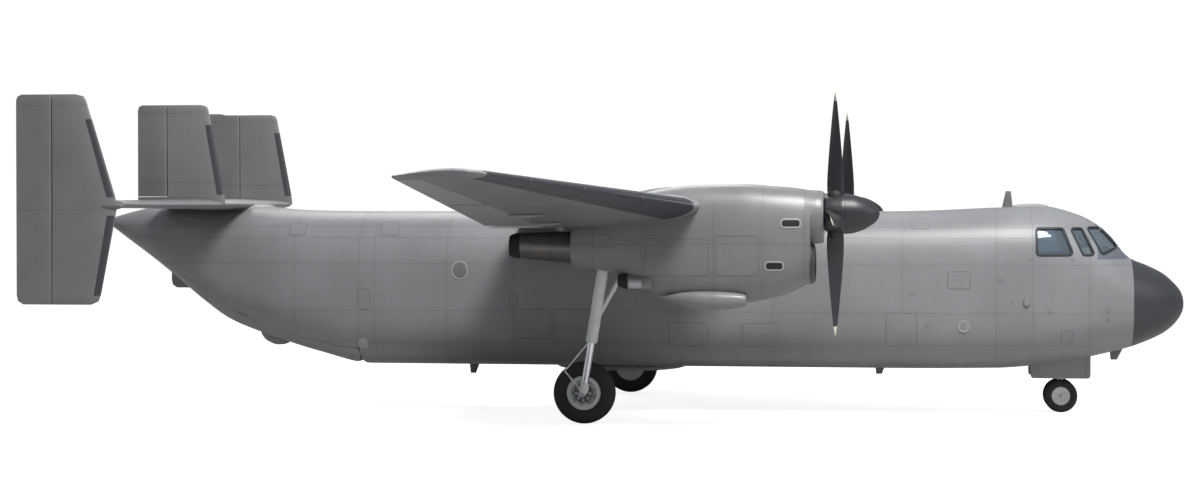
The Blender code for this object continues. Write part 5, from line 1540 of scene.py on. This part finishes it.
# Main gear on the port side, all in the plane's own places
BAY_ROOF = 2.5497
LEG_TOP, LEG_FOOT = (0.12, 3.68, 2.4697), (-0.25, 3.265, 0.475)
BRACE_TOP = (0.52, 3.70, 2.4897)
ELBOW = (-0.51, 3.365, 0.795)
LEG_COLLARS = ((0.05, 0.086, 0.10), (0.30, 0.086, 0.05), (0.475, 0.086, 0.07))
LEG_COLLARS += ((0.575, 0.086, 0.10), (0.925, 0.066, 0.15))
BRACE_COLLARS = ((0.02, 0.035, 0.07), (0.46, 0.035, 0.07), (0.90, 0.035, 0.07))
AXLE_NUT = ((-0.03, 0.05), (-0.005, 0.05), (0.0, 0.044))
BRAKE = ((0.078, 0.06), (0.078, 0.118), (0.100, 0.136), (0.150, 0.140), (0.156, 0.128), (0.160, 0.06))
# Lugs below the roof of the bay: x and y from, x and y to, depth
LUGS = ((-0.02, 3.56, 0.26, 3.80, 0.15), (0.47, 3.66, 0.57, 3.74, 0.095))
NOSE_LEG_TOP = 1.1497


def main_leg(side):
    def at(x, y, z):
        return Vector((x, side * y, z))

    def down(share):
        return top + (foot - top) * share

    top, foot, elbow, brace_top = at(*LEG_TOP), at(*LEG_FOOT), at(*ELBOW), at(*BRACE_TOP)
    x, y, z = MAIN_WHEEL["x"], MAIN_WHEEL["y"], MAIN_WHEEL["radius"]
    parts = [
        rod("cylinder", top, down(0.61), 0.082, gear_look, 40),
        rod("piston", down(0.58), foot, 0.054, chrome_look, 32),
        *collars(top, foot, LEG_COLLARS),
        rod("axle", at(x, y + 0.355, z), at(x, y + 0.0675, z), 0.048, gear_look, 32),
        turned("axle_nut", "Y", at(x, y + 0.36, z), [(side * w, r) for w, r in AXLE_NUT], steel_look, 8),
        turned("brake", "Y", (x, 0.0, z), [(side * (y + w), r) for w, r in BRAKE], dark_steel_look, 48),
    ]
    for _, spot in circle((x, 0.0, z), 0.10, 8, "Y"):
        ends = [(side * (y + w), 0.022) for w in (0.14, 0.176)]
        parts.append(turned("brake_piston", "Y", spot, ends, steel_look, 16))
    for x0, y0, x1, y1, deep in LUGS:
        low = BAY_ROOF - deep
        outline = rounded([(x0, low), (x1, low), (x1, BAY_ROOF), (x0, BAY_ROOF)], 0.035)
        parts.append(slab("lug", outline, *sorted((side * y0, side * y1)), gear_look))
    parts.append(rod("trunnion_pin", at(0.12, 3.555, 2.47), at(0.12, 3.805, 2.47), 0.040, steel_look))
    parts.append(rod("drag_brace", brace_top, down(0.50), 0.030, gear_look))
    parts += collars(brace_top, down(0.50), BRACE_COLLARS)
    for start in (at(-0.29, 3.265, 0.515), down(0.60)):
        across = (elbow - start).cross(foot - top).normalized() * 0.014
        for sign in (1, -1):
            ends = (start + across * sign, elbow + across * sign * 0.6)
            parts.append(rod("link", *ends, 0.009, gear_look, 16))
        ends = [start + (elbow - start) * share for share in (0.35, 0.6)]
        parts.append(rod("link_web", *ends, 0.013, gear_look, 16))
    parts.append(rod("elbow_pin", elbow - across * 1.4, elbow + across * 1.4, 0.018, steel_look, 20))
    line = [down(share) + at(0.080, 0, 0) for share in (0.14, 0.35, 0.56)]
    parts.append(tube("brake_line", line, 0.008, steel_look))
    return parts


def make_gear():
    for side, word in SIDES:
        make_wheels(MAIN_WHEEL, side, word, "main", f"main_wheel_{word}")
        leg = joined(f"main_leg_skin_{word}", main_leg(side))
        finish_piece(leg, "airframe", f"main_leg_{word}")

        make_wheels(NOSE_WHEEL, side, word, "nose", "nose_wheels")
        outline = rounded([(6.32, 0.535), (7.23, 0.535), (7.23, 0.98), (6.32, 0.98)], 0.05)
        door = slab("door", outline, *sorted((side * 0.346, side * 0.365)), fuselage_look)
        cut(door, fuselage_loft("door_seat", 7.6, 6.0, fuselage_look, -TIGHT))
        inner, outer = sorted((side * 0.3455, side * 0.352))
        ribs = [box("rib", (x, inner, 0.56), (x + 0.03, outer, 0.72), gear_look) for x in (6.42, 6.76, 7.10)]
        door = joined(f"nose_door_skin_{word}", [door, *ribs])
        finish_piece(door, "airframe", f"nose_door_{word}")

    x, z = NOSE_WHEEL["x"], NOSE_WHEEL["radius"]
    top, middle, foot = (x, 0, NOSE_LEG_TOP), (x, 0, 0.62), (x, 0, z)
    brace = (x - 0.38, 0.0, 1.10), (x, 0.0, 0.75)
    outline = rounded([(6.35, 1.06), (6.45, 1.06), (6.45, NOSE_LEG_TOP), (6.35, NOSE_LEG_TOP)], 0.02)
    parts = [
        rod("cylinder", top, middle, 0.061, gear_look, 40),
        *collars(top, middle, ((0.12, 0.066, 0.05), (0.55, 0.066, 0.05), (0.86, 0.066, 0.06))),
        rod("drag_brace", *brace, 0.025, gear_look),
        *collars(*brace, ((0.02, 0.031, 0.06), (0.45, 0.031, 0.06))),
        slab("brace_foot", outline, -0.05, 0.05, gear_look),
    ]
    finish_piece(joined("nose_leg_skin", parts), "airframe", "nose_leg")
    strut = (x, 0, 0.62 - TIGHT)
    parts = [
        rod("strut", strut, (x, 0, 0.34), 0.044, chrome_look, 32),
        rod("foot", (x, 0, 0.35), foot, 0.050, gear_look, 32),
        *collars(strut, foot, ((0.02, 0.051, 0.07),)),
        rod("axle", (x, -0.1361, z), (x, 0.1361, z), 0.034, gear_look, 32),
    ]
    for high in (0.56, 0.30):
        for y in (-0.02, 0.02):
            ends = (x - 0.035, y, high), (x - 0.048, y * 0.5, 0.44)
            parts.append(rod("torque_link", *ends, 0.008, gear_look, 12))
    finish_piece(joined("nose_steering_skin", parts), "nose_steering", "nose_steering")


# Pilots' seats and instrument board: outlines in x and the height above the floor
FLOOR = COCKPIT_FLOOR + TIGHT
SEAT_FRAME = ((6.30, 0.0), (6.83, 0.0), (6.85, 0.06), (6.85, 0.33))
SEAT_FRAME += ((6.50, 0.33), (6.475, 0.40), (6.36, 0.95), (6.30, 0.95))
SEAT_Y, SEAT_HALF = 0.50, 0.24
# The backrest's pads: low, high, how far in from each side; it leans with its frame
PADS = ((0.42, 0.86, 0.03), (0.90, 1.17, 0.12))
PAD_HALF = 0.045
LEAN = math.atan2(0.08, 0.74)
# Shoulder belts: x, height, share of the way out to the belt's own y
BELT = ((6.405, 0.90, 1.0), (6.452, 0.80, 1.0), (6.492, 0.60, 0.98), (6.53, 0.452, 0.9))
BELT_SECTION = ((0, -0.022), (0.004, -0.022), (0.004, 0.022), (0, 0.022))
BOARD = ((7.02, FLOOR), (7.36, FLOOR), (7.36, 2.18), (7.30, 2.245), (7.00, 2.245), (7.00, 2.215))
BOARD += ((7.09, 2.20), (7.05, 1.75), (7.00, 1.66))


def cushion(name, low, high, look, crown=0.03):
    """A crowned pad whose sides pull in between its corners."""
    middle = (Vector(low) + Vector(high)) / 2
    size = (Vector(high) - Vector(low)) / 2
    rings = []
    for k in range(9):
        t = -1 + k / 4
        tall = 1 - abs(t) ** 5 * 0.35
        ring = []
        for a in turns(64):
            c, s = math.cos(a), math.sin(a)
            reach = (abs(c) ** 6 + abs(s) ** 6) ** (-1 / 6)
            u, v = c * reach, s * reach
            pull = (1 - 0.03 * (1 - min(abs(u), abs(v)) ** 2)) * (1 - 0.10 * abs(t) ** 4)
            ring.append(middle + Vector((u * size.x * pull, v * size.y * pull, t * size.z * tall)))
        rings.append(ring)
    for share in (0.75, 0.45, 0.15):
        rise = min(size.z * (0.65 + crown / size.z * (1 - share * share)), size.z)
        spots = [((p.x - middle.x) * share, (p.y - middle.y) * share, rise) for p in ring]
        rings.append([middle + Vector(spot) for spot in spots])
    return loft(name, rings, look)


def back_pad(y0, y1, low, high, inset):
    """A cushion made lying down and then stood up against the leaning backrest."""
    half = (high - low) / 2
    pad = cushion("pad", (-half, y0 + inset, -PAD_HALF), (half, y1 - inset, PAD_HALF), fabric_look, 0.02)
    middle = (low + high) / 2
    for vertex in pad.data.vertices:
        u, w = vertex.co.x, vertex.co.z
        lean_x = 6.405 + math.tan(LEAN) * (0.80 - middle) - 0.012
        vertex.co.x = lean_x - u * math.sin(LEAN) + w * math.cos(LEAN)
        vertex.co.z = FLOOR + middle + u * math.cos(LEAN) + w * math.sin(LEAN)
    return pad


def make_cockpit_inside():
    for side, word in SIDES:
        y0, y1 = side * SEAT_Y - SEAT_HALF, side * SEAT_Y + SEAT_HALF
        outline = [(x, FLOOR + z) for x, z in SEAT_FRAME]
        parts = [slab("frame", outline, y0 + 0.02, y1 - 0.02, cockpit_look)]
        for y in (y0 + 0.012, y1 - 0.042):
            parts.append(box("arm", (6.45, y, FLOOR + 0.58), (6.50, y + 0.03, FLOOR + 0.62), cockpit_look))
        corners = (6.46, y0 + 0.02, FLOOR + 0.33), (6.845, y1 - 0.02, FLOOR + 0.438)
        parts.append(cushion("seat", *corners, fabric_look))
        parts += [back_pad(y0, y1, *pad) for pad in PADS]
        for off in (-0.09, 0.09):
            middle = side * SEAT_Y
            path = [(x, middle + off * share, FLOOR + height) for x, height, share in BELT]
            section = [Vector((dx, dy, 0)) for dx, dy in BELT_SECTION]
            rings = [[point + corner for corner in section] for point in curve_through(path)]
            parts.append(loft("belt", rings, belt_look))
        made = joined(f"pilot_seat_{word}", parts)
        finish_piece(made, "airframe", f"seat_{word}", 40)

    parts = [slab("panel", BOARD, -0.66, 0.66, cockpit_look)]
    for y in (-0.50, -0.25, 0.0, 0.25, 0.50):
        for z in (1.86, 2.06):
            low, high = (7.045, y - 0.095, z - 0.08), (7.09, y + 0.095, z + 0.08)
            parts.append(box("screen", low, high, screen_look))
            low, high = (7.052, y - 0.105, z - 0.09), (7.10, y + 0.105, z + 0.09)
            parts.append(box("bezel", low, high, seal_look))
    finish_piece(joined("instrument_board", parts), "airframe", "instrument_panel")


# Lamps: name, place, size, power. All shine at LIT_SPOT
LAMPS = (("key", (9, -13, 23), 9, 8600), ("front", (26, -10, 12), 12, 900), ("back", (-6, 20, 20), 16, 2400))
LIT_SPOT = Vector((0, 0, 2))
FLOOR_HALF = 300
WHITE = (1.0, 1.0, 1.0, 1.0)
FLOOR_GLOW, SKY_LIGHT, SKY_SEEN = 0.84, 0.36, 1.05
CAMERA_SPOT = (4.333, -37.0, EYE)
CAMERA_TILT, CAMERA_TURN = 90 - 0.7956, 7.328
CAMERA_LENS = 70.218


def camera_ray(tree):
    return tree.nodes.new("ShaderNodeLightPath").outputs["Is Camera Ray"]


def make_stage():
    """A pale floor and a sky that the camera sees as white, soft lamps and the photograph's camera."""
    floor_look = plain("studio_floor", (0.52, 0.52, 0.52), 0.6, grain=0.01)
    tree = floor_look.node_tree
    shader = tree.nodes["Principled BSDF"]
    shader.inputs["Emission Color"].default_value = WHITE
    glow = tree.nodes.new("ShaderNodeMath")
    glow.operation = "MULTIPLY"
    glow.inputs[1].default_value = FLOOR_GLOW
    tree.links.new(camera_ray(tree), glow.inputs[0])
    tree.links.new(glow.outputs[0], shader.inputs["Emission Strength"])
    corners = [(x * FLOOR_HALF, y * FLOOR_HALF, 0) for x, y in ((-1, -1), (1, -1), (1, 1), (-1, 1))]
    obj("floor", corners, [(0, 1, 2, 3)], floor_look)

    world = bpy.data.worlds.new("studio")
    bpy.context.scene.world = world
    world.use_nodes = True
    tree = world.node_tree
    sky = tree.nodes["Background"]
    seen = tree.nodes.new("ShaderNodeBackground")
    for node, colour, strength in ((sky, (0.90, 0.94, 1.0, 1.0), SKY_LIGHT), (seen, WHITE, SKY_SEEN)):
        node.inputs["Color"].default_value = colour
        node.inputs["Strength"].default_value = strength
    blend = tree.nodes.new("ShaderNodeMixShader")
    for k, output in enumerate((camera_ray(tree), sky.outputs[0], seen.outputs[0])):
        tree.links.new(output, blend.inputs[k])
    tree.links.new(blend.outputs[0], tree.nodes["World Output"].inputs["Surface"])
    bpy.context.scene.view_settings.view_transform = "Standard"

    for name, spot, size, power in LAMPS:
        lamp = bpy.data.lights.new(name, "AREA")
        lamp.size = size
        lamp.energy = power
        made = placed(name, lamp)
        made.location = spot
        made.rotation_euler = (LIT_SPOT - Vector(spot)).to_track_quat("-Z", "Y").to_euler()
    camera = placed("camera", bpy.data.cameras.new("camera"))
    camera.location = CAMERA_SPOT
    camera.rotation_euler = (math.radians(CAMERA_TILT), 0.0, math.radians(CAMERA_TURN))
    camera.data.lens = CAMERA_LENS
    camera.data.sensor_width = 36.0
    camera.data.clip_end = 500.0
    bpy.context.scene.camera = camera


make_fuselage()
make_tail_body()
make_wings()
make_tail()
make_nacelles()
make_propellers()
make_fittings()
make_gear()
make_cockpit_inside()
make_stage()
